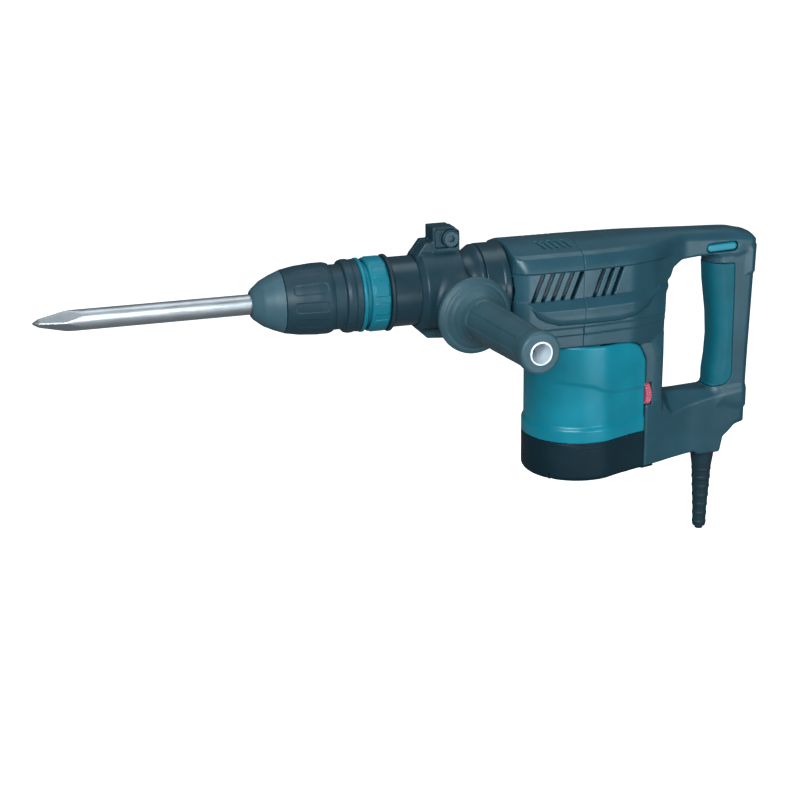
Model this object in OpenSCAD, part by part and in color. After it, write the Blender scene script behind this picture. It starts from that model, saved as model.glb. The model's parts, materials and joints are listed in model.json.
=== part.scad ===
// Electric jackhammer: a two-handed demolition hammer with an upright motor.
// The hammer axis is X: the bit points to -X and the rear D-handle is at +X.
// The origin is in the middle of the motor's flat underside, +Z is up, and the side handle
// points to -Y. The modules are drawn from the hammer axis, where the bit leaves the nose.

/* [Bit] */
// Length of the bit's exposed part
bit_out = 186; // [120:1:300]
// Length of the bit's shank inside the tool holder
bit_in = 94; // [90:1:94]
// Radius of the bit
bit_r = 9; // [8.6:0.1:9]
// Length of the forged point
point_len = 44; // [36:1:50]
// Play of the bit along its axis
bit_play = 20; // [12:1:20]

/* [Chuck] */
// Largest radius of the release cover
cover_r = 31.5; // [31:0.1:33]
// Travel of the release cover
cover_travel = 8; // [4:0.5:8]
// Radius of the change ring
ring_r = 33; // [32:0.1:34]
// Travel of the change ring
ring_travel = 3; // [2:0.5:3]

/* [Barrel] */
// Radius of the barrel
barrel_r = 31.2; // [30:0.1:31.5]
// Radius of the collar behind the barrel
collar_r = 37.2; // [36:0.1:38]
// Front end of the barrel
barrel_x = 119.5; // [119.5:0.1:121]
// Rear end of the collar
collar_x = 229; // [227:0.5:230]

/* [Hammer mechanism] */
// Bore radius of the cylinder
bore_r = 16; // [15.5:0.1:17]
// Radius of the crank, half the piston's stroke
crank_throw = 15; // [12:0.5:15]
// Length of the connecting rod between its pins
rod_len = 72; // [70:1:74]
// Module of the gear teeth
tooth_module = 0.8; // [0.8:0.05:0.85]
// Teeth of the motor pinion
pinion_teeth = 14; // [14:1:15]
// Teeth of the crank gear
gear_teeth = 77; // [75:1:77]

/* [Case] */
// Height of the case top above the hammer axis
case_top = 39; // [38:0.5:41]
// Half width of the case
case_half = 46; // [45:0.5:48]
// Seam between the front case and the rear case
seam_x = 294; // [290:1:298]
// Wall of the plastic shells
wall = 3; // [2:0.5:3.5]

/* [Motor] */
// Motor axis along X
motor_x = 296; // [294:0.5:298]
// Half width of the motor housing at its flared foot
motor_half = 50; // [49:0.5:53]
// Top of the motor housing
motor_top = -55; // [-56:0.5:-54]
// Joint between the motor housing and the base cover
base_joint = -147; // [-148:0.5:-146]
// Flat underside of the base cover
base_z = -185; // [-188:0.5:-184]

/* [Rear handle] */
// Rear face of the handle
rear_x = 480; // [476:1:484]
// Half width of the handle
handle_half = 17; // [15:0.5:19]
// Front face of the handle's grip
grip_front = 436; // [433:1:440]
// Top of the handle opening
opening_top = 10.5; // [9:0.5:11]
// Bottom of the handle opening
opening_bottom = -119; // [-122:1:-117]
// Travel of the push-through switch
switch_travel = 6; // [3:0.5:6]

/* [Side handle] */
// Middle of the side handle along the barrel
side_x = 184; // [182:0.5:186]
// Drop of the side grip below the hammer axis
side_drop = 14.5; // [12:0.5:16]
// Rearward lean of the side grip, degrees
side_rake = 4.7; // [3:0.1:5.5]
// Distance from the hammer axis to the flange of the side grip
flange_y = 50; // [48:1:56]
// Distance from the hammer axis to the end of the side grip
grip_end_y = 182; // [160:1:190]
// Radius of the flange
flange_r = 34; // [30:0.5:35]

/* [Hidden] */
$fn = 64;
slip = 0.05;
cap_back = 27;
cover_front = 27.3;
cover_back = 70;
holder_front = 5;
holder_back = 148;
holder_mid_r = 14.5;
holder_back_r = 20;
bolt_r = 12;
roller_x = 38;
roller_len = 12;
roller_r = 3.5;
roller_centre = 10.4;
cam_slope = 0.325;
neck_r = 29;
flange_front = 79;
collar_front = 91;
groove_x = 98.2;
band_x = groove_x + ring_travel + 0.4;
flare_x = 196;
joint_x = 206;
liner_front = 150;
liner_back = 288;
housing_top = 24;
liner_r = 19;
centre_distance = tooth_module * (pinion_teeth + gear_teeth) / 2;
crank_x = motor_x + centre_distance;
piston_pin_x = crank_x - crank_throw - rod_len;
piston_front = piston_pin_x - 24;
striker_front = 151;
disc_top = -5.8;
disc_bottom = -13.8;
gear_top = -29;
gear_bottom = -40;
plate_top = -42.3;
plate_bottom = -50;
crank_journal_r = 8;
armature_journal_r = 6;
field_r = 35;
arm_top_rear = 35;
foot_z = -180;
base_x = 305;
foot_back = 477;
grip_back = 458;
pad_top = 2.5;
pad_bottom = -117.5;
switch_x = 444;
switch_z = 18.5;
dial_x = 363;
dial_y = -23.5;
dial_z = -112.5;
cord_x = 440.5;
cord_z = -184;
cord_end = -268;
flange_half = 33;
clamp_front = 147;
clamp_back = 188;
ear_x = 162.8;
ear_top = 57.3;
clamp_bolt_x = 179.5;
clamp_bolt_z = 46.5;

// ---------- Helpers ----------

// Moves the part from the hammer axis to the frame whose origin is on the flat underside.
module seated() translate([-base_x, 0, -base_z]) children();

function unit(v) = v / norm(v);

// Points of one rounded corner c = [x, y, radius] between its neighbours p and n.
function corner(p, c, n, steps) =
    let (here = [c[0], c[1]], a = unit([p[0], p[1]] - here), b = unit([n[0], n[1]] - here),
         half = acos(max(-1, min(1, a * b))) / 2, radius = c[2])
    radius <= 0 || half > 89.9 ? [here] :
    let (centre = here + unit(a + b) * radius / sin(half),
         first = here + a * radius / tan(half), last = here + b * radius / tan(half),
         t0 = atan2(first[1] - centre[1], first[0] - centre[0]),
         t1 = atan2(last[1] - centre[1], last[0] - centre[0]),
         raw = t1 - t0, sweep = raw > 180 ? raw - 360 : raw < -180 ? raw + 360 : raw)
    [for (i = [0:steps]) centre + radius * [cos(t0 + sweep * i / steps), sin(t0 + sweep * i / steps)]];

// A closed outline with each corner rounded by its own radius.
function outline(points, steps = 5) =
    let (count = len(points))
    [for (i = [0:count - 1])
        each corner(points[(i + count - 1) % count], points[i], points[(i + 1) % count], steps)];

// A (y, z) outline given by its -y half, from the top down, and mirrored to the +y half.
function upright(half) =
    concat(half, [for (i = [len(half) - 1:-1:0]) [-half[i][0], half[i][1], half[i][2]]]);

// An outline given by its +y half, from front to back, and mirrored to the -y half.
function both_sides(half) =
    concat(half, [for (i = [len(half) - 1:-1:0]) [half[i][0], -half[i][1], half[i][2]]]);

// Extrudes a (y, z) outline from x0 to x1.
module along_x(points, x0, x1)
    translate([x0, 0, 0]) rotate([90, 0, 90]) linear_extrude(x1 - x0) polygon(points);

// Extrudes an (x, z) outline from y0 to y1.
module along_y(points, y0, y1)
    translate([0, y1, 0]) rotate([90, 0, 0]) linear_extrude(y1 - y0) polygon(points);

// Extrudes an (x, y) outline from z0 to z1.
module along_z(points, z0, z1)
    translate([0, 0, z0]) linear_extrude(z1 - z0) polygon(points);

// Turns an (x, r) profile about the X axis.
module turned_x(points)
    rotate([0, 90, 0]) rotate_extrude() polygon([for (p = points) [p[1], p[0]]]);

// Turns an (r, z) profile about the upright axis at x.
module turned_z(points, x)
    translate([x, 0, 0]) rotate_extrude() polygon(points);

// A cylinder along X between x0 and x1.
module rod_x(r, x0, x1)
    translate([x0, 0, 0]) rotate([0, 90, 0]) cylinder(r = r, h = x1 - x0);

// A cylinder along Y between y0 and y1, at x and z.
module rod_y(r, y0, y1, x, z)
    translate([x, y1, z]) rotate([90, 0, 0]) cylinder(r = r, h = y1 - y0);

// A cylinder along Z between z0 and z1, at x and y.
module rod_z(r, z0, z1, x, y = 0)
    translate([x, y, z0]) cylinder(r = r, h = z1 - z0);

module block(x0, x1, y0, y1, z0, z1)
    translate([x0, y0, z0]) cube([x1 - x0, y1 - y0, z1 - z0]);

// ---------- Gear teeth ----------

function involute(base_r, t) =
    base_r * [cos(t) + t * PI / 180 * sin(t), sin(t) - t * PI / 180 * cos(t)];

function turn(p, a) = [p[0] * cos(a) - p[1] * sin(a), p[0] * sin(a) + p[1] * cos(a)];

// Outline of a spur gear with stub teeth; one tooth points along +X before it is turned.
function gear_outline(teeth, backlash) =
    let (pressure = 20, pitch_r = tooth_module * teeth / 2, base_r = pitch_r * cos(pressure),
         tip_r = pitch_r + 0.65 * tooth_module, root_r = pitch_r - 0.95 * tooth_module,
         flank_start = sqrt(max(0, pow(root_r / base_r, 2) - 1)) * 180 / PI,
         flank_end = sqrt(pow(tip_r / base_r, 2) - 1) * 180 / PI,
         spread = tan(pressure) * 180 / PI - pressure,
         half_tooth = 90 / teeth - backlash * 90 / PI / pitch_r + spread,
         root_half = half_tooth * 0.7,
         foot = root_r < base_r ? [root_r * [cos(root_half), -sin(root_half)]] : [],
         flank = [for (i = [0:3])
                     turn(involute(base_r, flank_start + (flank_end - flank_start) * i / 3), -half_tooth)],
         right = concat(foot, flank))
    [for (k = [0:teeth - 1])
        let (spin = 360 * k / teeth)
        each concat(
            [for (p = right) turn(p, spin)],
            [for (i = [len(right) - 1:-1:0]) turn([right[i][0], -right[i][1]], spin)])];

// ---------- Bit and tool holder ----------

module bit() {
    color("silver") difference() {
        union() {
            rod_x(bit_r, -bit_out + point_len, bit_in - 2);
            turned_x([[bit_in - 2, 0], [bit_in - 2, bit_r], [bit_in, bit_r - 1.5], [bit_in, 0]]);
            intersection() {
                rod_x(bit_r, -bit_out - 1, -bit_out + point_len);
                translate([-bit_out, 0, 0]) rotate([0, 90, 0]) union() {
                    cylinder(r1 = 1.6, r2 = 5, h = 6, $fn = 4);
                    translate([0, 0, 6]) cylinder(r1 = 5, r2 = bit_r * 1.5, h = point_len - 5, $fn = 4);
                }
            }
        }
        for (side = [1, -1]) translate([0, 0, side * roller_centre])
            rod_x(roller_r + 0.3, roller_x - 0.5, roller_x + roller_len + bit_play + 0.5);
        for (a = [60, 120, 270]) rotate([a, 0, 0])
            block(roller_x + 14, bit_in + 1, -2.2, 2.2, bit_r - 2.4, bit_r + 1);
    }
}

module nose_cap() {
    color([0.10, 0.16, 0.19]) difference() {
        turned_x([[0, 9.6], [0, 11.5], [1.5, 13.5], [9.5, 19.5], [18.5, 24], [cap_back, 27.5],
                  [cap_back, 20], [24, 20], [24, 9.6]]);
        rod_x(13, holder_front, cap_back + 1);
    }
}

module release_cover() {
    color([0.13, 0.20, 0.24]) union() {
        turned_x([[cover_front, holder_mid_r + slip], [cover_front, 27.8], [40, 30], [55, cover_r],
                  [cover_back, cover_r], [cover_back, neck_r + 0.1], [40, neck_r + 0.1],
                  [34, 26], [34, 17.3], [29.8, 17.3], [29.8, holder_mid_r + slip]]);
        for (a = [0:30:330]) rotate([a, 0, 0]) translate([0, 0, cover_r - 1.2])
            along_x([[-4.5, 0], [4.5, 0], [3.6, 1.9], [-3.6, 1.9]], 52, 66);
    }
}

module roller_ring() {
    color("gray")
        turned_x([[34, 17.2], [34, 22], [54, 22], [54, 14.6], [50, 14.6],
                  [50 - cover_travel, 14.6 + cover_travel * cam_slope], [50 - cover_travel, 17.2]]);
}

// A flat-wire compression spring behind the roller ring.
module cover_spring() {
    front = 55.1;
    free_len = 21.5;
    coils = 4;
    arc = 110;
    ribbon = concat([for (a = [0:arc / 4:arc]) 20.9 * [cos(a), sin(a)]],
                    [for (a = [arc:-arc / 4:0]) 19.1 * [cos(a), sin(a)]]);
    color("dimgray") translate([front, 0, 0]) rotate([0, 90, 0])
        linear_extrude(free_len, twist = -360 * coils, slices = 12 * coils) polygon(ribbon);
}

module lock_roller(side) {
    color("lightgray") translate([0, 0, side * roller_centre])
        rod_x(roller_r, roller_x, roller_x + roller_len);
}
module lock_roller_top() lock_roller(1);
module lock_roller_bottom() lock_roller(-1);

module tool_holder() {
    color("dimgray") difference() {
        turned_x([[holder_front, bit_r + slip], [holder_front, 13], [cap_back, 13],
                  [cap_back, holder_mid_r], [78, holder_mid_r], [78, 18],
                  [collar_front, 18], [collar_front, holder_back_r], [holder_back, holder_back_r],
                  [holder_back, bolt_r + 0.65], [140.2, bolt_r + 0.65], [140.2, bolt_r + slip],
                  [97, bolt_r + slip], [97, bit_r + slip]]);
        for (side = [1, -1]) translate([0, 0, side * roller_centre])
            rod_x(roller_r + 0.1, roller_x - 0.2, roller_x + roller_len + 0.2);
        for (side = [1, -1])
            block(roller_x - 0.2, roller_x + roller_len + 0.2, -roller_r - 0.1, roller_r + 0.1,
                  side > 0 ? roller_centre : -20, side > 0 ? 20 : -roller_centre);
    }
    color("dimgray") for (a = [60, 120, 270]) rotate([a, 0, 0])
        block(74, 86, -2, 2, bit_r - 1.9, bit_r + 1);
}

module rear_sleeve() {
    color([0.13, 0.20, 0.24])
        turned_x([[64, 25], [64, neck_r], [flange_front, neck_r], [flange_front + 1, 31.6],
                  [flange_front + 3, 32.6], [88, 32.6], [90.6, 31.2], [90.6, 18],
                  [78.2, 18], [78.2, 25]]);
}

module index_collar() {
    color([0.08, 0.50, 0.60])
        turned_x([[collar_front, holder_back_r], [collar_front, 31.5], [92.5, ring_r],
                  [groove_x - 1, ring_r], [groove_x, ring_r - 1], [groove_x, 29],
                  [119, 29], [119, holder_back_r]]);
}

module change_ring() {
    color([0.08, 0.50, 0.60]) {
        turned_x([[band_x, 29 + slip], [band_x, ring_r - 1], [band_x + 1, ring_r - 0.3],
                  [117.6, ring_r - 0.3], [118.6, ring_r - 1.2], [118.6, 29 + slip]]);
        for (a = [15:30:345]) rotate([a, 0, 0]) translate([0, 0, ring_r - 1.6])
            along_x([[-6, 0], [6, 0], [5.4, 2], [-5.4, 2]], band_x + 2, 117.4);
    }
}

// ---------- Barrel and hammer mechanism ----------

module stop_ring() {
    color([0.05, 0.07, 0.09])
        turned_x([[barrel_x, barrel_r], [barrel_x, 33.6], [barrel_x + 1, 34.4],
                  [barrel_x + 2.5, 34.4], [barrel_x + 3.6, 33.4], [barrel_x + 3.6, barrel_r]]);
}

module barrel_housing() {
    color([0.15, 0.23, 0.27]) difference() {
        turned_x([[barrel_x, holder_back_r + slip], [barrel_x, barrel_r], [flare_x, barrel_r],
                  [joint_x - 3, collar_r - 0.6], [joint_x, collar_r - 0.6], [joint_x, liner_r],
                  [liner_front, liner_r], [liner_front, bore_r], [148.4, bore_r],
                  [148.4, holder_back_r + slip]]);
        for (a = [45:90:315]) rotate([a, 0, 0]) translate([0, 0, 27.5])
            rod_x(2.5, 190, joint_x + 1);
    }
}

module impact_bolt() {
    color("lightgray")
        turned_x([[94.4, 0], [94.4, 7.6], [95.4, bit_r - 0.1], [106, bit_r - 0.1], [107.5, bolt_r],
                  [132, bolt_r], [134, 10], [134, 8], [144.4, 8], [144.4, 0]]);
}

module cushion_ring() {
    color("black")
        turned_x([[140.4, 8.8], [140.4, bolt_r + 0.65], [147.5, bolt_r + 0.65], [147.5, 8.8]]);
}

module cylinder_liner() {
    color("gainsboro") difference() {
        rod_x(liner_r, liner_front, liner_back);
        rod_x(bore_r, liner_front - 1, liner_back + 1);
    }
}

// A groove of radius r around the X axis for a sealing ring at x.
module ring_groove(x)
    turned_x([[x - 1.3, bore_r - 2.6], [x - 1.3, bore_r + 1], [x + 1.3, bore_r + 1],
              [x + 1.3, bore_r - 2.6]]);

module sealing_ring(x)
    translate([x, 0, 0]) rotate([0, 90, 0]) rotate_extrude()
        translate([bore_r - 1.33, 0]) circle(r = 1.25);

module striker() {
    color("silver") difference() {
        turned_x([[striker_front, 0], [striker_front, 8], [158, 9], [158, bore_r - slip],
                  [185, bore_r - slip], [185, 0]]);
        ring_groove(176);
    }
}
module striker_ring() color("black") sealing_ring(176);

module piston() {
    color("silver") difference() {
        rod_x(bore_r - slip, piston_front, piston_pin_x + 12);
        ring_groove(piston_front + 6);
        block(piston_pin_x - 9, piston_pin_x + 13, -12.2, 12.2, -5, 5);
        rod_z(4, -20, 20, piston_pin_x);
    }
}
module piston_ring() color("black") sealing_ring(piston_front + 6);
module piston_pin() color("gray") rod_z(4, -13.5, 13.5, piston_pin_x);

module con_rod() {
    color("darkgray") difference() {
        union() {
            rod_z(8, -4.5, 4.5, piston_pin_x);
            rod_z(11, -4.5, 4.5, piston_pin_x + rod_len);
            block(piston_pin_x, piston_pin_x + rod_len, -5, 5, -3.5, 3.5);
        }
        rod_z(4 + slip, -6, 6, piston_pin_x);
        rod_z(5, -6, 6, piston_pin_x + rod_len);
    }
}
module crank_pin() color("gray") rod_z(5, disc_top + 0.3, 6.5, piston_pin_x + rod_len);

module crank_shaft() {
    color("gray") difference() {
        union() {
            rod_z(21, disc_bottom, disc_top, crank_x);
            rod_z(crank_journal_r, plate_bottom + 0.6, disc_bottom + 1, crank_x);
        }
        for (side = [1, -1]) rod_z(4, disc_bottom - 1, disc_top + 1, crank_x - 9, side * 13);
    }
}

module crank_gear() {
    color("darkgoldenrod") difference() {
        translate([crank_x, 0, gear_bottom]) rotate(180) linear_extrude(gear_top - gear_bottom)
            polygon(gear_outline(gear_teeth, 0.12));
        rod_z(crank_journal_r, gear_bottom - 1, gear_top + 1, crank_x);
    }
}

// A bearing: a ring with a raised inner race and grooves where its shields sit.
module bearing(x, inner, outer, z0, z1)
    difference() {
        rod_z(outer, z0, z1, x);
        rod_z(inner, z0 - 1, z1 + 1, x);
        for (z = [z0 - 1, z1 - 0.6]) difference() {
            rod_z(outer - 1.6, z, z + 1.6, x);
            rod_z(inner + 1.6, z - 1, z + 3, x);
        }
    }
module crank_bearing_upper() color("silver") bearing(crank_x, crank_journal_r + 0.03, 17, -26, -15);
module crank_bearing_lower() color("silver") bearing(crank_x, crank_journal_r + 0.03, 13, -49, -43);
module motor_bearing_upper() color("silver") bearing(motor_x, armature_journal_r + 0.03, 11, -49, -43);
module motor_bearing_lower() color("silver") bearing(motor_x, 5.03, 11, -160, -152);

// Plan of the crank housing, drawn in by d.
function housing_plan(d) = outline(both_sides([
    [238 + d, 31 - d, 4], [252 + d, 34 - d, 8], [350 - d, 34 - d, 8], [366 - d, 22 - d, 8]]));

module crank_housing() {
    color("lightslategray") difference() {
        union() {
            turned_x([[joint_x + 0.4, liner_r], [joint_x + 0.4, collar_r], [collar_x, collar_r],
                      [collar_x, 24], [240, 24], [240, liner_r]]);
            along_z(housing_plan(0), plate_top, housing_top);
            rod_z(35.5, plate_top, disc_bottom - 1, crank_x);
        }
        rod_x(liner_r, joint_x, liner_back);
        along_z(housing_plan(3.5), disc_bottom - 0.4, housing_top + 1);
        rod_z(17, disc_bottom - 13, disc_bottom, crank_x);
        rod_z(crank_journal_r + 0.5, gear_top, disc_bottom, crank_x);
        rod_z(33, plate_top - 1, gear_top + 1, crank_x);
        rod_z(9, plate_top - 1, gear_top + 1, motor_x);
        for (a = [45:90:315]) rotate([a, 0, 0]) translate([0, 0, 27.5])
            rod_x(2.5, joint_x, 245);
    }
}

module crank_cap() color("slategray") 
    along_z(housing_plan(0.5), housing_top + 0.1, housing_top + 3.5);

module gear_plate() {
    color("slategray") difference() {
        union() {
            along_z(housing_plan(0.5), plate_bottom, plate_top - 0.1);
            rod_z(35, plate_bottom, plate_top - 0.1, crank_x);
        }
        rod_z(13, plate_bottom + 0.8, plate_top + 1, crank_x);
        rod_z(crank_journal_r + 0.5, plate_bottom - 1, plate_top + 1, crank_x);
        rod_z(11, plate_bottom + 0.8, plate_top + 1, motor_x);
        rod_z(armature_journal_r + 0.5, plate_bottom - 1, plate_top + 1, motor_x);
    }
}

module housing_screws() {
    color("black") for (a = [45:90:315]) rotate([a, 0, 0]) translate([0, 0, 27.5])
        difference() {
            union() {
                rod_x(2.5, 194, collar_x);
                rod_x(3.4, collar_x, 234);
            }
            translate([231.5, 0, 0]) rotate([0, 90, 0]) cylinder(r = 1.8, h = 3, $fn = 6);
        }
}

// ---------- Plastic case ----------

// Cross-section of the upper case, drawn in by d.
function case_section(d) = outline(upright([
    [-13 + d * 0.3, case_top - d, 14], [-37.5 + d * 0.6, 31 - d, 4], [-case_half + d, 25 - d * 0.5, 5],
    [-case_half + d, -12, 2], [-case_half - 3.5 + d, -17, 3], [-case_half - 3.5 + d, -29, 6],
    [-case_half + d, -36, 3], [-case_half + d, motor_top, 0]]));

// Slanted ventilation slots through both sides of the case, from x0 on.
module side_vents(x0, count)
    for (i = [0:count - 1]) let (x = x0 + i * 9.5)
        along_y([[x, -11], [x + 4.5, -11], [x + 14, 13], [x + 9.5, 13]], -60, 60);

module case_front() {
    front = collar_x + 0.3;
    plan = outline(both_sides([[front, 37, 3], [front + 16, 52, 0], [seam_x, 52, 0]]));
    inner = outline(both_sides([[front + wall, 35, 3], [front + wall + 18, 52, 0],
                                [seam_x + 1, 52, 0]]));
    color([0.17, 0.26, 0.31]) difference() {
        intersection() {
            along_x(case_section(0), front, seam_x);
            along_z(plan, -60, 50);
        }
        intersection() {
            along_x(case_section(wall), front + wall, seam_x + 1);
            along_z(inner, -60, 50);
        }
        block(front + wall, seam_x + 1, -case_half + 5, case_half - 5, motor_top - 1, -36);
        rod_x(35.8, front - 1, front + 12);
        side_vents(243, 4);
        for (side = [1, -1], i = [0:4])
            translate([254 + i * 6.5, side * 22, case_top - 5]) rotate([0, 0, side * 40])
                cube([2.4, 14, 12], center = true);
    }
}

// Plan of the rear case from the seam to the D-handle, drawn in by d.
function rear_plan(d) = outline(both_sides([
    [seam_x, 52, 0], [345, 52 - d, 20], [372, 38 - d, 20], [398, handle_half + 2 - d, 8],
    [410, handle_half + 2 - d, 0]]));

// Plan of the column and the lower arm, drawn in by d.
function foot_plan(d) = outline(both_sides([
    [dial_x + d, flange_half - d, 0], [377, 29 - d, 10], [393, 24.5 - d, 10], [414, 20 - d, 10],
    [440, 18.5 - d, 10], [foot_back - d, handle_half - d, 9]]));

// Plan of the D-handle's upright and of its top, drawn in by d.
function handle_plan(x, corner_r, d) = outline(both_sides([
    [x + d, handle_half - d, corner_r], [rear_x - d, handle_half - d, 9]]));

// Side view of the rear case above the motor, drawn in by d.
function upper_side(d) = outline([
    [seam_x - (d > 0 ? 1 : 0), case_top - d, 0], [355, case_top - d, 60],
    [rear_x - 14, arm_top_rear - d, 16], [rear_x + 1 - d, 25, 10], [rear_x - d, opening_top - 8, 0],
    [grip_front + 10, opening_top + d, 0], [398, opening_top + d, 8], [388 - d, -2, 3],
    [386 - d, -14, 0], [385 - d, motor_top + d, 0], [seam_x - (d > 0 ? 1 : 0), motor_top + d, 0]]);

// Side view of the column and the lower arm, drawn in by d.
function lower_side(d) = outline([
    [dial_x + d, motor_top + 4, 0], [385 - d, motor_top + 4, 0], [384 - d, opening_bottom - d, 2],
    [grip_front + 12, opening_bottom - d, 0], [foot_back - d, -110, 0], [foot_back - d, -157, 5],
    [457, -168 + d, 4], [454.5 - d, cord_z + d, 3], [427 + d, cord_z + d, 3], [422, foot_z + d, 2],
    [dial_x + d, foot_z - 3 + d, 0]]);

// Section of the lower arm with its bevelled top, drawn in by d.
function arm_section(d) = outline(upright([
    [-7.5 + d * 0.4, opening_bottom - d, 2], [-40 + d, -143 - d, 0], [-40 + d, -200, 0]]));

module rear_solid(d) {
    intersection() {
        along_x(case_section(d), seam_x - (d > 0 ? 1 : 0), 410);
        along_z(rear_plan(d), -60, 50);
        along_y(upper_side(d), -60, 60);
    }
    intersection() {
        along_x(outline(upright([[-7 + d * 0.4, case_top - d, 6], [-handle_half + d, 33 - d, 6],
                                 [-handle_half + d, opening_top - 20, 0]])), 392, rear_x + 5);
        along_y(upper_side(d), -60, 60);
        along_z(handle_plan(380, 0, d), -60, 50);
    }
    intersection() {
        along_z(foot_plan(d), -200, 0);
        along_y(lower_side(d), -60, 60);
        union() {
            block(dial_x - 1, 386 - d, -60, 60, -200, 0);
            along_x(arm_section(d), 380, rear_x);
        }
    }
    intersection() {
        along_z(handle_plan(grip_front, 13, d), opening_bottom - 6, opening_top + 6);
        along_y([[grip_front - 20, opening_bottom - 7], [foot_back - d, opening_bottom - 7],
                 [rear_x - d, opening_top + 7], [grip_front - 20, opening_top + 7]], -60, 60);
    }
}

module screw_posts(r)
    for (p = handle_screw_places) rod_y(r, -60, 60, p[0], p[1]);

handle_screw_places = [[399, 24], [466, 24], [376, -40], [377, -82], [377, -150], [464, -142]];

module handle_half(side) {
    color([0.15, 0.23, 0.28]) difference() {
        union() {
            difference() {
                rear_solid(0);
                rear_solid(wall);
            }
            intersection() {
                rear_solid(0);
                screw_posts(5);
            }
        }
        if (side > 0) block(200, 500, -80, 0.03, -250, 80);
        else block(200, 500, -0.03, 80, -250, 80);
        for (p = handle_screw_places) {
            rod_y(2, -13, 60, p[0], p[1]);
            rod_y(4, 13, 60, p[0], p[1]);
        }
        side_vents(seam_x + 8, 3);
        grip_pad_recess();
        switch_tunnel();
        translate([dial_x, dial_y, dial_z]) rotate([0, 90, 0]) cylinder(r = 13, h = 7);
        rod_z(9.2, cord_z - 5, cord_z + wall + 1, cord_x);
        block(dial_x - 2, dial_x + wall + 1, -26, 26, -60, -40);
        block(seam_x - 1, 352, -34, 34, motor_top - 1, motor_top + wall + 1);
    }
}
module handle_left() handle_half(-1);
module handle_right() handle_half(1);

module handle_screws() {
    color("dimgray") for (p = handle_screw_places) difference() {
        union() {
            rod_y(2, -12.5, 13, p[0], p[1]);
            rod_y(3.9, 13, 15.5, p[0], p[1]);
        }
        translate([p[0], 17, p[1]]) rotate([90, 0, 0]) cylinder(r = 1.8, h = 3, $fn = 6);
    }
}

// Section of the soft grip pad, drawn in by d from the handle's surface.
function pad_section(d) = outline(both_sides([[grip_front + d, handle_half - d, 13 - d * 0.5],
                                              [grip_back, handle_half - d, 0]]));
module grip_pad_recess() {
    difference() {
        along_z(pad_section(-1), pad_bottom, pad_top);
        along_z(pad_section(2.2), pad_bottom - 1, pad_top + 1);
    }
}
module grip_pad() {
    color([0.08, 0.50, 0.60]) difference() {
        along_z(pad_section(0), pad_bottom, pad_top);
        along_z(pad_section(2.2), pad_bottom - 1, pad_top + 1);
    }
}

function stadium(length, height, grow) = outline([
    [-length / 2 - grow, -height / 2 - grow, height / 2 + grow - 0.01],
    [length / 2 + grow, -height / 2 - grow, height / 2 + grow - 0.01],
    [length / 2 + grow, height / 2 + grow, height / 2 + grow - 0.01],
    [-length / 2 - grow, height / 2 + grow, height / 2 + grow - 0.01]], 8);

module switch_tunnel()
    translate([switch_x, 0, switch_z]) along_y(stadium(30, 7.5, 0.25), -40, 40);
module switch_bar() {
    color([0.10, 0.55, 0.64]) translate([switch_x, 0, switch_z])
        along_y(stadium(30, 7.5, 0), -handle_half - switch_travel / 2, handle_half - switch_travel / 2);
}
module switch_block() {
    color("dimgray") difference() {
        block(406, 427, -11, 11, 14.5, 32);
        block(405, 410, -3, 3, 20, 40);
    }
}

module speed_dial() {
    color([0.80, 0.30, 0.36]) difference() {
        union() {
            translate([dial_x, dial_y, dial_z]) rotate([0, 90, 0]) cylinder(r = 11.4, h = 5.6);
            for (a = [0:20:340]) translate([dial_x, dial_y, dial_z]) rotate([a, 0, 0])
                block(0, 5.6, -0.9, 0.9, 11, 12.2);
        }
        translate([dial_x - 1, dial_y, dial_z]) rotate([0, 90, 0]) cylinder(r = 2.05, h = 8);
    }
}
module speed_board() {
    color("darkgreen") {
        block(dial_x + 7.2, dial_x + 8.6, dial_y - 1, 6, dial_z - 16, dial_z + 34);
        translate([dial_x, dial_y, dial_z]) rotate([0, 90, 0]) cylinder(r = 2, h = 7.5);
        block(dial_x + 8.5, dial_x + 11, -16, 2, dial_z - 10, dial_z + 16);
    }
}

module cord_guard() {
    color([0.08, 0.12, 0.14]) difference() {
        union() {
            turned_z([[4.1, cord_end + 5], [6.2, cord_end + 5], [7, -240], [9.2, -204], [11, cord_z - 0.3],
                      [9, cord_z - 0.3], [9, cord_z + wall + 0.3], [10.3, cord_z + wall + 0.3],
                      [10.3, cord_z + wall + 3], [4.1, cord_z + wall + 3]], cord_x);
            for (i = [0:4]) rod_z(10.6 - i * 0.75, -206 - i * 12, -200 - i * 12, cord_x);
        }
        rod_z(4.1, cord_end, cord_z + wall + 4, cord_x);
    }
}
module power_cord() color([0.06, 0.08, 0.09]) rod_z(4, cord_end, -150, cord_x);
module cord_clamp() {
    color("dimgray") difference() {
        block(431, 451, -14.8, 14.8, -160, -154);
        rod_z(4, -161, -153, cord_x);
    }
}

// ---------- Motor ----------

// Plan of the motor housing: a half oval in front and straight flanks closing in to the rear.
function motor_plan(half, front, d) = concat(
    [for (a = [90:7.5:270])
        [306 + (front - d) * sign(cos(a)) * pow(abs(cos(a)), 0.95),
         (half - d) * sign(sin(a)) * pow(abs(sin(a)), 0.95)]],
    outline([[311, -half + d, 0], [320, -half + 1.5 + d, 30], [dial_x - 0.3 - d, -flange_half + d, 0],
             [dial_x - 0.3 - d, flange_half - d, 0], [320, half - 1.5 - d, 30], [311, half - d, 0]]));

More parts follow.
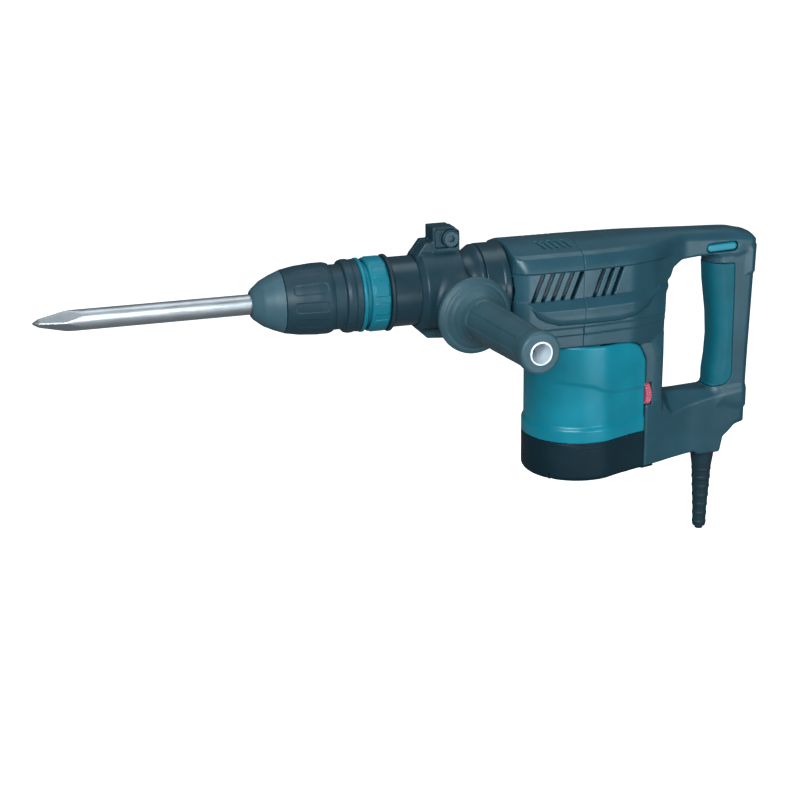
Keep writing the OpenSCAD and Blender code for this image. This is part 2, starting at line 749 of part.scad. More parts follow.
module motor_housing() {
    color([0.08, 0.50, 0.60]) difference() {
        union() {
            along_z(motor_plan(motor_half - 2, 49, 0), -134, motor_top - 0.2);
            along_z(motor_plan(motor_half, 51, 0), base_joint, -133);
        }
        difference() {
            along_z(motor_plan(motor_half - 2, 49, wall), base_joint - 1, motor_top + 1);
            for (a = [45:90:315]) translate([motor_x, 0, 0]) rotate(a)
                difference() {
                    block(field_r - 1, 60, -2, 2, -124, -78);
                    rod_z(field_r, -125, -77, 0);
                }
        }
        block(dial_x - 6, dial_x + 1, -20, 20, -130, -60);
        translate([dial_x - 3, dial_y, dial_z]) rotate([0, 90, 0]) cylinder(r = 13, h = 7);
        for (p = base_screw_places) rod_z(2, base_joint - 1, -128, p[0], p[1]);
    }
    color([0.08, 0.50, 0.60]) for (p = base_screw_places) difference() {
        rod_z(5, base_joint, -128, p[0], p[1]);
        rod_z(2, base_joint - 1, -129, p[0], p[1]);
    }
}

base_screw_places = [[271, 29], [271, -29], [342, 33.5], [342, -33.5]];

module base_cover() {
    color([0.09, 0.14, 0.17]) difference() {
        union() {
            difference() {
                union() {
                    along_z(motor_plan(motor_half, 51, 0), base_z + 5, base_joint - 0.2);
                    along_z(motor_plan(motor_half, 51, 3), base_z, base_z + 6);
                    along_z([[350, -36], [375, -29], [375, 29], [350, 36]], base_z, foot_z - 3.1);
                }
                along_z(motor_plan(motor_half, 51, wall), base_z + 4, base_joint + 1);
            }
            rod_z(14, base_z + 1, -151, motor_x);
            for (p = base_screw_places) rod_z(5, base_z + 1, base_joint - 0.2, p[0], p[1]);
        }
        rod_z(11, -161, -150, motor_x);
        for (p = base_screw_places) {
            rod_z(2, base_z - 1, base_joint + 1, p[0], p[1]);
            rod_z(4, base_z - 1, base_z + 8, p[0], p[1]);
        }
    }
}

module base_screws() {
    color("dimgray") for (p = base_screw_places) difference() {
        union() {
            rod_z(2, base_z + 8, -130, p[0], p[1]);
            rod_z(3.9, base_z + 5, base_z + 8, p[0], p[1]);
        }
        translate([p[0], p[1], base_z + 4]) cylinder(r = 1.8, h = 3, $fn = 6);
    }
}

module armature_shaft() {
    color("gray") {
        rod_z(armature_journal_r, -151.5, plate_top + 0.6, motor_x);
        rod_z(5, -160.5, -151, motor_x);
        rod_z(4.4, -43, -28.6, motor_x);
        translate([motor_x, 0, gear_bottom - 1]) rotate(180 / pinion_teeth)
            linear_extrude(gear_top - gear_bottom + 1.4) polygon(gear_outline(pinion_teeth, 0.12));
    }
}
module armature_core() {
    color("sienna") difference() {
        union() {
            rod_z(24, -120, -82, motor_x);
            rod_z(20, -126, -76, motor_x);
        }
        rod_z(armature_journal_r, -130, -70, motor_x);
        for (a = [0:30:330]) translate([motor_x, 0, 0]) rotate(a)
            block(22, 25, -0.8, 0.8, -121, -81);
    }
}
module commutator() {
    color("peru") difference() {
        rod_z(14, -146, -130, motor_x);
        rod_z(armature_journal_r, -147, -129, motor_x);
        for (a = [0:15:345]) translate([motor_x, 0, 0]) rotate(a)
            block(13.2, 15, -0.25, 0.25, -147, -129);
    }
}
module cooling_fan() {
    color("whitesmoke") difference() {
        union() {
            rod_z(10, -72, -58, motor_x);
            rod_z(33, -72, -70, motor_x);
            for (a = [0:30:330]) translate([motor_x, 0, 0]) rotate(a)
                block(9, 32, -0.8, 0.8, -71, -60);
        }
        rod_z(armature_journal_r, -73, -57, motor_x);
    }
}
module field_stator() {
    color("darkred") difference() {
        rod_z(field_r, -124, -78, motor_x);
        rod_z(25, -125, -77, motor_x);
        for (side = [1, -1])
            block(motor_x - 14, motor_x + 14, side > 0 ? 20 : -31, side > 0 ? 31 : -20, -125, -77);
    }
}

module brush_holders() {
    color("goldenrod") for (side = [1, -1]) difference() {
        block(motor_x - 6, motor_x + 6, side > 0 ? 17 : -36, side > 0 ? 36 : -17, -143, -133);
        block(motor_x - 4, motor_x + 4, -35, 35, -141, -135);
    }
    color("goldenrod") difference() {
        rod_z(31, -145, -143, motor_x);
        rod_z(16, -146, -142, motor_x);
    }
}
module carbon_brushes() {
    color("black") for (side = [1, -1])
        block(motor_x - 4, motor_x + 4, side > 0 ? 14.2 : -28, side > 0 ? 28 : -14.2, -141, -135);
}

// ---------- Side handle ----------

// Puts children in the side grip's frame: its axis runs from the hammer axis along -Y.
module at_grip()
    translate([side_x, 0, -side_drop]) rotate([0, 0, side_rake]) rotate([90, 0, 0]) children();

module handle_clamp() {
    color([0.11, 0.18, 0.21]) difference() {
        union() {
            turned_x([[clamp_front, barrel_r], [clamp_front, 33], [clamp_front + 4, 36.5],
                      [clamp_back - 1, 36.5], [clamp_back, 35.5], [clamp_back, barrel_r]]);
            along_y([[clamp_front, -33], [clamp_front + 10, -42.5], [clamp_back, -45],
                     [clamp_back, 30], [ear_x + 2, 30], [ear_x + 2, 44], [clamp_front + 9, 44],
                     [clamp_front, 33]], -12, 12);
            along_y(outline([[ear_x, 28, 0], [ear_x, ear_top, 1.5], [clamp_back - 4.5, ear_top, 2],
                             [clamp_back - 0.2, ear_top - 3.5, 1], [clamp_back - 0.2, 28, 0]], 3), -12, 2);
            block(ear_x + 4, clamp_back - 0.2, 4, 12.5, 28, ear_top - 6);
            rod_y(8, -14, -11, clamp_bolt_x, clamp_bolt_z);
            hull() {
                at_grip() translate([0, 0, 44]) cylinder(r = 21.5, h = flange_y - 48);
                rod_y(22, -31, -20, 173, 6);
            }
        }
        turned_x([[clamp_front - 1, 0], [clamp_front - 1, barrel_r + slip],
                  [flare_x - 1, barrel_r + slip], [joint_x - 4, collar_r + 0.3],
                  [collar_x, collar_r + 0.3], [collar_x, 0]]);
        block(clamp_front - 1, clamp_back + 1, 2, 4, 25, ear_top + 5);
        rod_y(3.5, -20, 20, clamp_bolt_x, clamp_bolt_z);
        rod_y(6.5, -20, -9, clamp_bolt_x, clamp_bolt_z);
        translate([clamp_bolt_x, 20, clamp_bolt_z]) rotate([90, 0, 0])
            cylinder(r = 5.1, h = 10.8, $fn = 6);
        at_grip() translate([0, 0, barrel_r]) cylinder(r = 10, h = 60);
    }
}
module clamp_bolt() {
    color("black") difference() {
        union() {
            rod_y(3.5, -9, 13, clamp_bolt_x, clamp_bolt_z);
            rod_y(6.4, -14.6, -9, clamp_bolt_x, clamp_bolt_z);
        }
        translate([clamp_bolt_x, -11.5, clamp_bolt_z]) rotate([90, 0, 0])
            cylinder(r = 3.4, h = 5, $fn = 6);
    }
}
module clamp_nut() {
    color("gray") difference() {
        translate([clamp_bolt_x, 13, clamp_bolt_z]) rotate([90, 0, 0])
            cylinder(r = 5, h = 3.7, $fn = 6);
        rod_y(3.5, 5, 20, clamp_bolt_x, clamp_bolt_z);
    }
}

module side_grip() {
    end = grip_end_y;
    color([0.13, 0.20, 0.24]) at_grip() rotate_extrude() polygon([
        [10, flange_y - 4], [flange_r - 6, flange_y - 4], [flange_r, flange_y - 1],
        [flange_r, flange_y + 2], [flange_r - 4, flange_y + 5], [23.5, flange_y + 10],
        [18.5, flange_y + 24], [18, flange_y + 60], [17, end - 14], [18, end - 6], [18, end - 3],
        [16.5, end], [10, end]]);
}
module grip_tube() {
    color("silver") at_grip() difference() {
        translate([0, 0, barrel_r + 4]) cylinder(r = 10, h = grip_end_y + 1 - barrel_r - 4);
        translate([0, 0, flange_y]) cylinder(r = 8.5, h = 160);
    }
}

seated() bit();
seated() nose_cap();
seated() release_cover();
seated() roller_ring();
seated() cover_spring();
seated() lock_roller_top();
seated() lock_roller_bottom();
seated() tool_holder();
seated() rear_sleeve();
seated() index_collar();
seated() change_ring();
seated() stop_ring();
seated() barrel_housing();
seated() impact_bolt();
seated() cushion_ring();
seated() cylinder_liner();
seated() striker();
seated() striker_ring();
seated() piston();
seated() piston_ring();
seated() piston_pin();
seated() con_rod();
seated() crank_pin();
seated() crank_shaft();
seated() crank_gear();
seated() crank_bearing_upper();
seated() crank_bearing_lower();
seated() crank_housing();
seated() crank_cap();
seated() gear_plate();
seated() housing_screws();
seated() case_front();
seated() handle_left();
seated() handle_right();
seated() handle_screws();
seated() grip_pad();
seated() switch_bar();
seated() switch_block();
seated() speed_dial();
seated() speed_board();
seated() cord_guard();
seated() power_cord();
seated() cord_clamp();
seated() motor_housing();
seated() base_cover();
seated() base_screws();
seated() armature_shaft();
seated() armature_core();
seated() commutator();
seated() cooling_fan();
seated() field_stator();
seated() motor_bearing_upper();
seated() motor_bearing_lower();
seated() brush_holders();
seated() carbon_brushes();
seated() handle_clamp();
seated() clamp_bolt();
seated() clamp_nut();
seated() side_grip();
seated() grip_tube();
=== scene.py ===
"""Looks for the electric jackhammer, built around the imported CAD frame.

Lengths in this file are millimetres from the nose of the tool, on the hammer axis: +X runs back to
the D-handle, +Z up, and the side handle points to -Y. Each visible piece is a distance field
(negative inside), meshed with one vertex in each grid cell that its surface crosses.
"""

import json

import bpy
import numpy as np
from mathutils import Matrix, Vector


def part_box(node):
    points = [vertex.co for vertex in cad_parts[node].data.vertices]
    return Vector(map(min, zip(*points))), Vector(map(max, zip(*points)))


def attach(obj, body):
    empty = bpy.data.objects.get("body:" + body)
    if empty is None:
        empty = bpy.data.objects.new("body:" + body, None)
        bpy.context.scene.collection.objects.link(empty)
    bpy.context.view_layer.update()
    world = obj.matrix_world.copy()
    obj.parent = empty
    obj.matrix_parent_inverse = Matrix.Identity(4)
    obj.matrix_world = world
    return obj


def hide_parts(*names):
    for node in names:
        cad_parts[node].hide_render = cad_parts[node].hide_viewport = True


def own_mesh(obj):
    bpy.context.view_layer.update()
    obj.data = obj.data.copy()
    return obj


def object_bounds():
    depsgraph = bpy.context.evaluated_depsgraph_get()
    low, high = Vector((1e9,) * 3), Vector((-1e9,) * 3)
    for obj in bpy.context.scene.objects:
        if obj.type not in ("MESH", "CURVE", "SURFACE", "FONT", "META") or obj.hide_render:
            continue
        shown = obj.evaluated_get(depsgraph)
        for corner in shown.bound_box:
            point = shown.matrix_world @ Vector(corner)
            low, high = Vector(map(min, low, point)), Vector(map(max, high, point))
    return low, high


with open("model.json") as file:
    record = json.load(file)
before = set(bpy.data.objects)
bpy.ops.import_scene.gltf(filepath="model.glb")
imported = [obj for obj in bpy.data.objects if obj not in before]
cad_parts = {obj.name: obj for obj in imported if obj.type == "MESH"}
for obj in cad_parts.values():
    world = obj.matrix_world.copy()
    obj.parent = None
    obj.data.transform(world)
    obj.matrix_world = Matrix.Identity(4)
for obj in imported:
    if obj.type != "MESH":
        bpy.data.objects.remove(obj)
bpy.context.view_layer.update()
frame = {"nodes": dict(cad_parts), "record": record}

# ---------- Places taken from the frame ----------

nose_low, nose_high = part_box("nose_cap")
NOSE = np.array([nose_low.x, 0.0, (nose_low.z + nose_high.z) / 2])


def span(node):
    """Lowest and highest corner of a CAD node, in millimetres from the nose."""
    low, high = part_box(node)
    return (np.array(low) - NOSE) * 1000, (np.array(high) - NOSE) * 1000


def middle(node):
    """Middle of a CAD node's box, in millimetres from the nose."""
    return sum(span(node)) / 2


GRIP_DEPTH = 44  # the D-handle's grip, from its front to its back
EAR_DEPTH = 17  # the clamp's ear, along the tool; its bolt is in the middle of it
BIT_TIP, BIT_BACK = span("bit")[0][0], span("bit")[1][0]
BIT_R = span("bit")[1][1]
CAP_BACK = span("nose_cap")[1][0]
COVER_FRONT, COVER_BACK = span("release_cover")[0][0], span("release_cover")[1][0]
SLEEVE_BACK = span("rear_sleeve")[1][0]
COLLAR_FRONT, COLLAR_BACK = span("index_collar")[0][0], span("index_collar")[1][0]
LIP = COLLAR_FRONT + 3.4  # back edge of the rear sleeve's lip, which overlaps the collar
RING_FRONT, RING_BACK = span("change_ring")[0][0], span("change_ring")[1][0]
STOP_FRONT, STOP_BACK = span("stop_ring")[0][0], span("stop_ring")[1][0]
BARREL_FRONT, BARREL_BACK = span("barrel_housing")[0][0], span("barrel_housing")[1][0]
CASE_FRONT, SEAM = span("case_front")[0][0], span("case_front")[1][0]
TOP = span("case_front")[1][2]
REAR = span("grip_pad")[0][0] + GRIP_DEPTH
BOSS_Z = span("handle_left")[0][2]
MOTOR_BACK = span("motor_housing")[1][0]
MOTOR_HALF = span("motor_housing")[1][1]
MOTOR_TOP, JOINT = span("motor_housing")[1][2], span("motor_housing")[0][2]
BASE, BASE_BACK = span("base_cover")[0][2], span("base_cover")[1][0]
CLAMP_FRONT, EAR_TOP = span("handle_clamp")[0][0], span("handle_clamp")[1][2]
BOLT = middle("clamp_bolt")
CLAMP_BACK = BOLT[0] + EAR_DEPTH / 2
DIAL = middle("speed_dial")
DIAL_FACE, DIAL_BACK = span("speed_dial")[0][0], span("speed_dial")[1][0]
CORD = middle("power_cord")
CORD_END = span("power_cord")[0][2]
SWITCH, SWITCH_HALF = middle("switch_bar"), (span("switch_bar")[1] - span("switch_bar")[0]) / 2
PAD_BOTTOM, PAD_TOP = span("grip_pad")[0][2], span("grip_pad")[1][2]
CRANK = middle("crank_shaft")
HOUSING_FLOOR, HOUSING_TOP = span("crank_housing")[0][2], span("crank_cap")[0][2] - 0.1
SHAFT_X = middle("armature_shaft")[0]


def named(rows, name):
    """The row of the record with this name."""
    return next(row for row in rows if row["name"] == name)


bore = named(frame["record"]["mounts"], "grip_tube_bore")
GRIP_WAY = np.array(bore["axis"], float)
bore_middle = (np.array(bore["pos_m"], float) - NOSE) * 1000
GRIP_ROOT = bore_middle - GRIP_WAY * bore_middle[1] / GRIP_WAY[1]
GRIP_END = (span("grip_tube")[0][1] + 1 - GRIP_ROOT[1]) / GRIP_WAY[1] - 1

WALL = 3.0  # thickness of the moulded shells
SLIP = 0.15  # room under the change ring
SEAT_R = 29  # radius that the change ring and the release cover slide on
BARREL_R, BARREL_BORE = 31.2, 19
TUBE_R, TUBE_BORE = 10, 8.5  # outside and inside of the tube in the side handle
CASE_HALF = 46.0  # half of the case's width
HEAD_R, SCREW_R = 4, 2  # holes for the heads and the shanks of the case screws

# ---------- Distance fields ----------


def meet(a, b, r=0.0):
    """What is inside both fields, with a rounded edge of radius r."""
    r = np.maximum(r, 1e-6)
    return np.minimum(np.maximum(a, b), -r) + np.hypot(np.maximum(a + r, 0), np.maximum(b + r, 0))


def join(a, b, r=0.0):
    """What is inside either field, with a fillet of radius r."""
    return -meet(-a, -b, r)


def cut(a, b, r=0.0):
    """What is inside a and outside b."""
    return meet(a, -b, r)


def between(v, low, high):
    return np.maximum(low - v, v - high)


def ramp(v, start, end):
    """0 before start, 1 after end, and smooth between them."""
    t = np.clip((v - start) / (end - start), 0, 1)
    return t * t * (3 - 2 * t)


def curve(points, blur=0.0):
    """A function through (position, value) points, with its corners eased over blur."""
    at, value = np.array(points, float).T
    fine = np.linspace(at[0], at[-1], 1200)
    level = np.interp(fine, at, value)
    if blur:
        reach = max(1, int(blur / (fine[1] - fine[0])))
        kernel = np.hanning(2 * reach + 3)[1:-1]
        padded = np.concatenate([
            2 * level[0] - level[reach:0:-1], level, 2 * level[-1] - level[-2:-reach - 2:-1]])
        level = np.convolve(padded, kernel / kernel.sum(), "valid")
    return lambda v: np.interp(v, fine, level)


def rounded(points, steps=6):
    """A closed outline of (u, v, radius) corners, each rounded by its own radius."""
    made = []
    count = len(points)
    for i, (u, v, *radius) in enumerate(points):
        here = np.array([u, v], float)
        before = np.array(points[i - 1][:2], float) - here
        after = np.array(points[(i + 1) % count][:2], float) - here
        before /= np.linalg.norm(before)
        after /= np.linalg.norm(after)
        half = np.arccos(np.clip(before @ after, -1, 1)) / 2
        if not radius or radius[0] <= 0 or half > 1.56:
            made.append(here)
            continue
        centre = here + (before + after) / np.linalg.norm(before + after) * radius[0] / np.sin(half)
        first, last = [here + way * radius[0] / np.tan(half) - centre for way in (before, after)]
        start = np.arctan2(first[1], first[0])
        sweep = (np.arctan2(last[1], last[0]) - start + np.pi) % (2 * np.pi) - np.pi
        for t in np.linspace(start, start + sweep, steps + 1):
            made.append(centre + radius[0] * np.array([np.cos(t), np.sin(t)]))
    return np.array(made)


def outline(u, v, points):
    """Signed distance from (u, v) to a closed outline."""
    u, v = np.broadcast_arrays(u, v)
    nearest = np.full(u.shape, 1e12)
    inside = np.zeros(u.shape, bool)
    for a, b in zip(points, np.roll(points, -1, axis=0)):
        edge = b - a
        length = edge @ edge
        if length < 1e-12:
            continue
        du, dv = u - a[0], v - a[1]
        t = np.clip((du * edge[0] + dv * edge[1]) / length, 0, 1)
        nearest = np.minimum(nearest, (du - t * edge[0]) ** 2 + (dv - t * edge[1]) ** 2)
        if edge[1] != 0:
            inside ^= ((a[1] > v) != (b[1] > v)) & (du < dv / edge[1] * edge[0])
    return np.where(inside, -1, 1) * np.sqrt(nearest)


def turned(x, y, z, points):
    """A closed (x, radius) outline turned about the hammer axis."""
    return outline(x, np.hypot(y, z), rounded(points))


def repeat(y, z, count, start=0.0):
    """Angle from the nearest of count spokes about the hammer axis, in radians."""
    pitch = 2 * np.pi / count
    return (np.arctan2(z, y) - start + pitch / 2) % pitch - pitch / 2


def pad(u, v, half_u, half_v, r):
    """Signed distance to a rounded rectangle."""
    du, dv = np.abs(u) - half_u + r, np.abs(v) - half_v + r
    return np.hypot(np.maximum(du, 0), np.maximum(dv, 0)) + np.minimum(np.maximum(du, dv), 0) - r


def grip_frame(x, y, z):
    """Distance along the side grip from the hammer axis, and across it from the grip's axis."""
    px, py, pz = x - GRIP_ROOT[0], y - GRIP_ROOT[1], z - GRIP_ROOT[2]
    along = px * GRIP_WAY[0] + py * GRIP_WAY[1]
    side = px * GRIP_WAY[1] - py * GRIP_WAY[0]
    return along, side, pz + 0 * along


# ---------- Meshing ----------


def net(field, low, high, step):
    """Vertices and quads of the field's zero surface, on a grid of the given step."""
    axes = [np.arange(a - 1.37 * step, b + 2 * step, step) for a, b in zip(low, high)]
    grid = np.meshgrid(*axes, indexing="ij", sparse=True)
    value = np.ascontiguousarray(np.broadcast_to(field(*grid), [len(a) for a in axes]))
    value = np.where(value == 0, 1e-9, value)
    stride = np.array([value.shape[1] * value.shape[2], value.shape[2], 1])
    owners, places = [], []
    for axis in range(3):
        near = [slice(None)] * 3
        far = [slice(None)] * 3
        near[axis], far[axis] = slice(0, -1), slice(1, None)
        a, b = value[tuple(near)], value[tuple(far)]
        index = np.argwhere((a < 0) != (b < 0))
        a, b = a[tuple(index.T)], b[tuple(index.T)]
        place = index.astype(float)
        place[:, axis] += a / (a - b)
        ring = []
        for back_u, back_v in ((0, 0), (1, 0), (1, 1), (0, 1)):
            cell = index.copy()
            cell[:, (axis + 1) % 3] -= back_u
            cell[:, (axis + 2) % 3] -= back_v
            ring.append(cell @ stride)
        ring = np.stack(ring, axis=1)
        ring[a > 0] = ring[a > 0][:, ::-1]
        owners.append(ring)
        places.append(np.repeat(place[:, None, :], 4, axis=1))
    owners, places = np.concatenate(owners), np.concatenate(places)
    cells, quads = np.unique(owners, return_inverse=True)
    quads = quads.reshape(-1, 4)
    weight = np.bincount(quads.ravel(), minlength=len(cells))
    spots = np.stack(
        [np.bincount(quads.ravel(), places[:, :, k].ravel(), len(cells)) / weight for k in range(3)],
        axis=1)
    return np.array([a[0] for a in axes]) + spots * step, quads


def slope(field, spots, reach):
    """The field's value and its gradient at loose points."""
    x, y, z = spots.T
    rise = []
    for dx, dy, dz in np.eye(3) * reach:
        ahead = field(x + dx, y + dy, z + dz)
        rise.append((ahead - field(x - dx, y - dy, z - dz)) / (2 * reach))
    return field(x, y, z), np.stack(np.broadcast_arrays(*rise), axis=1)


def settle(field, spots, step, passes=3, probe=0.12, limit=0.7, soften=0.3):
    """Moves the vertices onto the surface, and gives the surface's normals there.

    No vertex moves further than limit grid steps, and soften is the reach of the normals in steps.
    """
    start = spots.copy()
    for _ in range(passes):
        value, rise = slope(field, spots, probe)
        size = np.maximum((rise ** 2).sum(axis=1), 0.05)
        spots = spots - (value / size)[:, None] * rise
        away = spots - start
        length = np.linalg.norm(away, axis=1, keepdims=True)
        spots = start + away * np.minimum(1, limit * step / np.maximum(length, 1e-9))
    rise = slope(field, spots, soften * step)[1]
    return spots, rise / np.maximum(np.linalg.norm(rise, axis=1, keepdims=True), 1e-9)


def piece(name, field, step, material, body, node):
    """A mesh of the field, sought round a CAD node, that rides on a body and stands for the node."""
    step *= 1.0
    low, high = span(node)
    spots, quads = net(field, low - ROOM, high + ROOM, step)
    spots, normals = settle(field, spots, step)
    mesh = bpy.data.meshes.new(name)
    mesh.from_pydata((spots / 1000 + NOSE).tolist(), [], quads.tolist())
    mesh.validate()
    mesh.shade_smooth()
    mesh.normals_split_custom_set_from_vertices(normals.tolist())
    made = bpy.data.objects.new(name, mesh)
    mesh.materials.append(material)
    stand_in(made, body, node)


def stand_in(made, body, node):
    """Puts an object on a body in the place of a CAD node."""
    bpy.context.scene.collection.objects.link(made)
    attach(made, body)
    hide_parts(node)


ROOM = 2.0  # how far outside its CAD node a piece may reach

# ---------- Materials ----------


class Paint:
    """A node material put together a step at a time."""

    def __init__(self, name):
        self.material = bpy.data.materials.new(name)
        self.material.use_nodes = True
        self.tree = self.material.node_tree
        self.shader = self.tree.nodes["Principled BSDF"]
        self.place = self.add("ShaderNodeTexCoord").outputs["Object"]

    def add(self, kind, **settings):
        node = self.tree.nodes.new(kind)
        for key, value in settings.items():
            setattr(node, key, value)
        return node

    def link(self, source, target):
        self.tree.links.new(source, target)

    def noise(self, scale, stretch=(1, 1, 1), detail=3.0):
        """Noise of scale features to the metre."""
        mapping = self.add("ShaderNodeMapping")
        mapping.inputs["Scale"].default_value = stretch
        self.link(self.place, mapping.inputs["Vector"])
        noise = self.add("ShaderNodeTexNoise")
        noise.inputs["Scale"].default_value = scale
        noise.inputs["Detail"].default_value = detail
        self.link(mapping.outputs["Vector"], noise.inputs["Vector"])
        return noise.outputs["Fac"]

    def spread(self, value, low, high, from_low=0.3, from_high=0.7):
        """A value between 0 and 1 stretched to a new range."""
        node = self.add("ShaderNodeMapRange")
        for key, number in zip(("From Min", "From Max", "To Min", "To Max"),
                               (from_low, from_high, low, high)):
            node.inputs[key].default_value = number
        self.link(value, node.inputs["Value"])
        return node.outputs["Result"]

    def mix(self, factor, first, second):
        """A mix of two colours."""
        node = self.add("ShaderNodeMix", data_type="RGBA")
        self.link(factor, node.inputs["Factor"])
        for socket, colour in ((node.inputs[6], first), (node.inputs[7], second)):
            if isinstance(colour, tuple):
                socket.default_value = (*colour, 1)
            else:
                self.link(colour, socket)
        return node.outputs[2]

    def edges(self, low, high):
        """1 on convex edges, 0 elsewhere."""
        return self.spread(self.add("ShaderNodeNewGeometry").outputs["Pointiness"], 0, 1, low, high)

    def bump(self, height, strength, distance):
        node = self.add("ShaderNodeBump")
        node.inputs["Strength"].default_value = strength
        node.inputs["Distance"].default_value = distance
        self.link(height, node.inputs["Height"])
        self.link(node.outputs["Normal"], self.shader.inputs["Normal"])

    def set(self, **values):
        for key, value in values.items():
            socket = self.shader.inputs[key.replace("_", " ")]
            if hasattr(value, "links"):
                self.link(value, socket)
            else:
                socket.default_value = value
        return self.material


def shade(colour, factor):
    return tuple(min(1.0, c * factor) for c in colour)


def moulded(name, colour, rough, grain=1800, relief=0.12, wear=0.35, coat=0.0, shine=0.38):
    """Moulded plastic or rubber: a fine spark-eroded grain, faint blotches and paler rubbed edges."""
    paint = Paint(name)
    blotch = paint.noise(28, detail=4)
    body = paint.mix(paint.spread(blotch, 0, 1), shade(colour, 0.86), shade(colour, 1.14))
    rubbed = paint.add("ShaderNodeMath", operation="MULTIPLY")
    paint.link(paint.edges(0.52, 0.60), rubbed.inputs[0])
    paint.link(paint.spread(paint.noise(140, detail=5), 0.0, wear, 0.35, 0.65), rubbed.inputs[1])
    paint.set(Base_Color=paint.mix(rubbed.outputs[0], body, shade(colour, 1.9)),
              Roughness=paint.spread(paint.noise(60, detail=4), rough - 0.05, rough + 0.06),
              Specular_IOR_Level=shine, Coat_Weight=coat, Coat_Roughness=0.25)
    paint.bump(paint.noise(grain, detail=2), relief, 0.0003)
    return paint.material


def metal(name, colour, rough, stretch=(1, 1, 1), scale=900, relief=0.05, metallic=1.0):
    """Metal with fine machining or brushing lines and slightly uneven polish."""
    paint = Paint(name)
    blotch = paint.noise(35, detail=5)
    paint.set(Base_Color=paint.mix(paint.spread(blotch, 0, 1), shade(colour, 0.88), shade(colour, 1.1)),
              Roughness=paint.spread(paint.noise(scale, stretch, 4), rough - 0.07, rough + 0.09),
              Metallic=metallic)
    paint.bump(paint.noise(scale, stretch, 2), relief, 0.0002)
    return paint.material


SLATE = (0.013, 0.050, 0.068)
TEAL = (0.001, 0.158, 0.210)

case_plastic = moulded("dark_plastic", SLATE, 0.36)
clamp_plastic = moulded("clamp_plastic", shade(SLATE, 0.52), 0.44, shine=0.25)
base_plastic = moulded("base_plastic", (0.003, 0.014, 0.020), 0.5, shine=0.16)
cover_plastic = moulded("cover_plastic", (0.008, 0.026, 0.036), 0.48, shine=0.26)
cap_rubber = moulded("cap_rubber", (0.030, 0.070, 0.088), 0.52, 1200, 0.2, 0.2)
grip_rubber = moulded("grip_rubber", (0.022, 0.056, 0.070), 0.50, 1500, 0.22, 0.2)
cord_rubber = moulded("black_rubber", (0.009, 0.024, 0.032), 0.5, 1000, 0.2, 0.15, shine=0.25)
teal_plastic = moulded("teal_plastic", TEAL, 0.33, 1500, 0.05, 0.12, 0.1, 0.3)
ring_plastic = moulded("ring_plastic", shade(TEAL, 0.74), 0.45, 1500, 0.05, 0.2, 0.05, 0.28)
teal_rubber = moulded("teal_rubber", shade(TEAL, 0.52), 0.50, 1400, 0.2, 0.15, shine=0.25)
red_plastic = moulded("red_plastic", (0.42, 0.070, 0.110), 0.35, 1400, 0.05, 0.2)
barrel_paint = moulded("barrel_paint", shade(SLATE, 0.48), 0.36, 900, 0.06, 0.5, 0.1, 0.3)
steel = metal("steel", (0.56, 0.57, 0.58), 0.30)
bit_steel = metal("bit_steel", (0.40, 0.40, 0.41), 0.40, (0.04, 1, 1), 1400, 0.12)
tube_metal = metal("tube_metal", (0.78, 0.82, 0.86), 0.36, metallic=0.5)
bolt_steel = metal("bolt_steel", shade(SLATE, 0.8), 0.45, metallic=0.2)
black_steel = metal("black_steel", (0.05, 0.055, 0.06), 0.42, metallic=0.8)
gear_steel = metal("gear_steel", (0.40, 0.38, 0.34), 0.34)
cast = metal("cast_aluminium", (0.50, 0.52, 0.54), 0.55, scale=500, relief=0.3)
copper = metal("copper_winding", (0.62, 0.28, 0.12), 0.35, (1, 1, 12))
laminate = metal("laminate", (0.26, 0.25, 0.24), 0.48, (0.1, 0.1, 20), 300, 0.5)
brass = metal("brass", (0.75, 0.56, 0.27), 0.30)
carbon = moulded("carbon", (0.03, 0.03, 0.03), 0.62, 900, 0.3, 0.1)
white_plastic = moulded("white_plastic", (0.72, 0.72, 0.68), 0.40)
board_green = moulded("circuit_green", (0.03, 0.20, 0.09), 0.28, 600, 0.1, 0.1, 0.5)

CAD_LOOKS = {
    steel: ["roller_ring", "cover_spring", "lock_roller_top", "lock_roller_bottom", "impact_bolt",
            "cylinder_liner", "striker", "piston_pin", "crank_pin", "crank_bearing_upper",
            "crank_bearing_lower", "motor_bearing_upper", "motor_bearing_lower", "clamp_nut"],
    gear_steel: ["tool_holder", "con_rod", "crank_shaft", "crank_gear", "armature_shaft"],
    cast: ["piston", "crank_cap", "gear_plate"],
    black_steel: ["housing_screws", "handle_screws", "base_screws"],
    bolt_steel: ["clamp_bolt"],
    carbon: ["switch_block", "cord_clamp", "carbon_brushes", "cushion_ring", "striker_ring",
             "piston_ring"],
    laminate: ["armature_core", "field_stator"],
    copper: ["commutator"],
    brass: ["brush_holders"],
    white_plastic: ["cooling_fan"],
    board_green: ["speed_board"],
}
for look, names in CAD_LOOKS.items():
    for node_name in names:
        materials = frame["nodes"][node_name].data.materials
        materials.clear()
        materials.append(look)

# ---------- Bit and chuck ----------


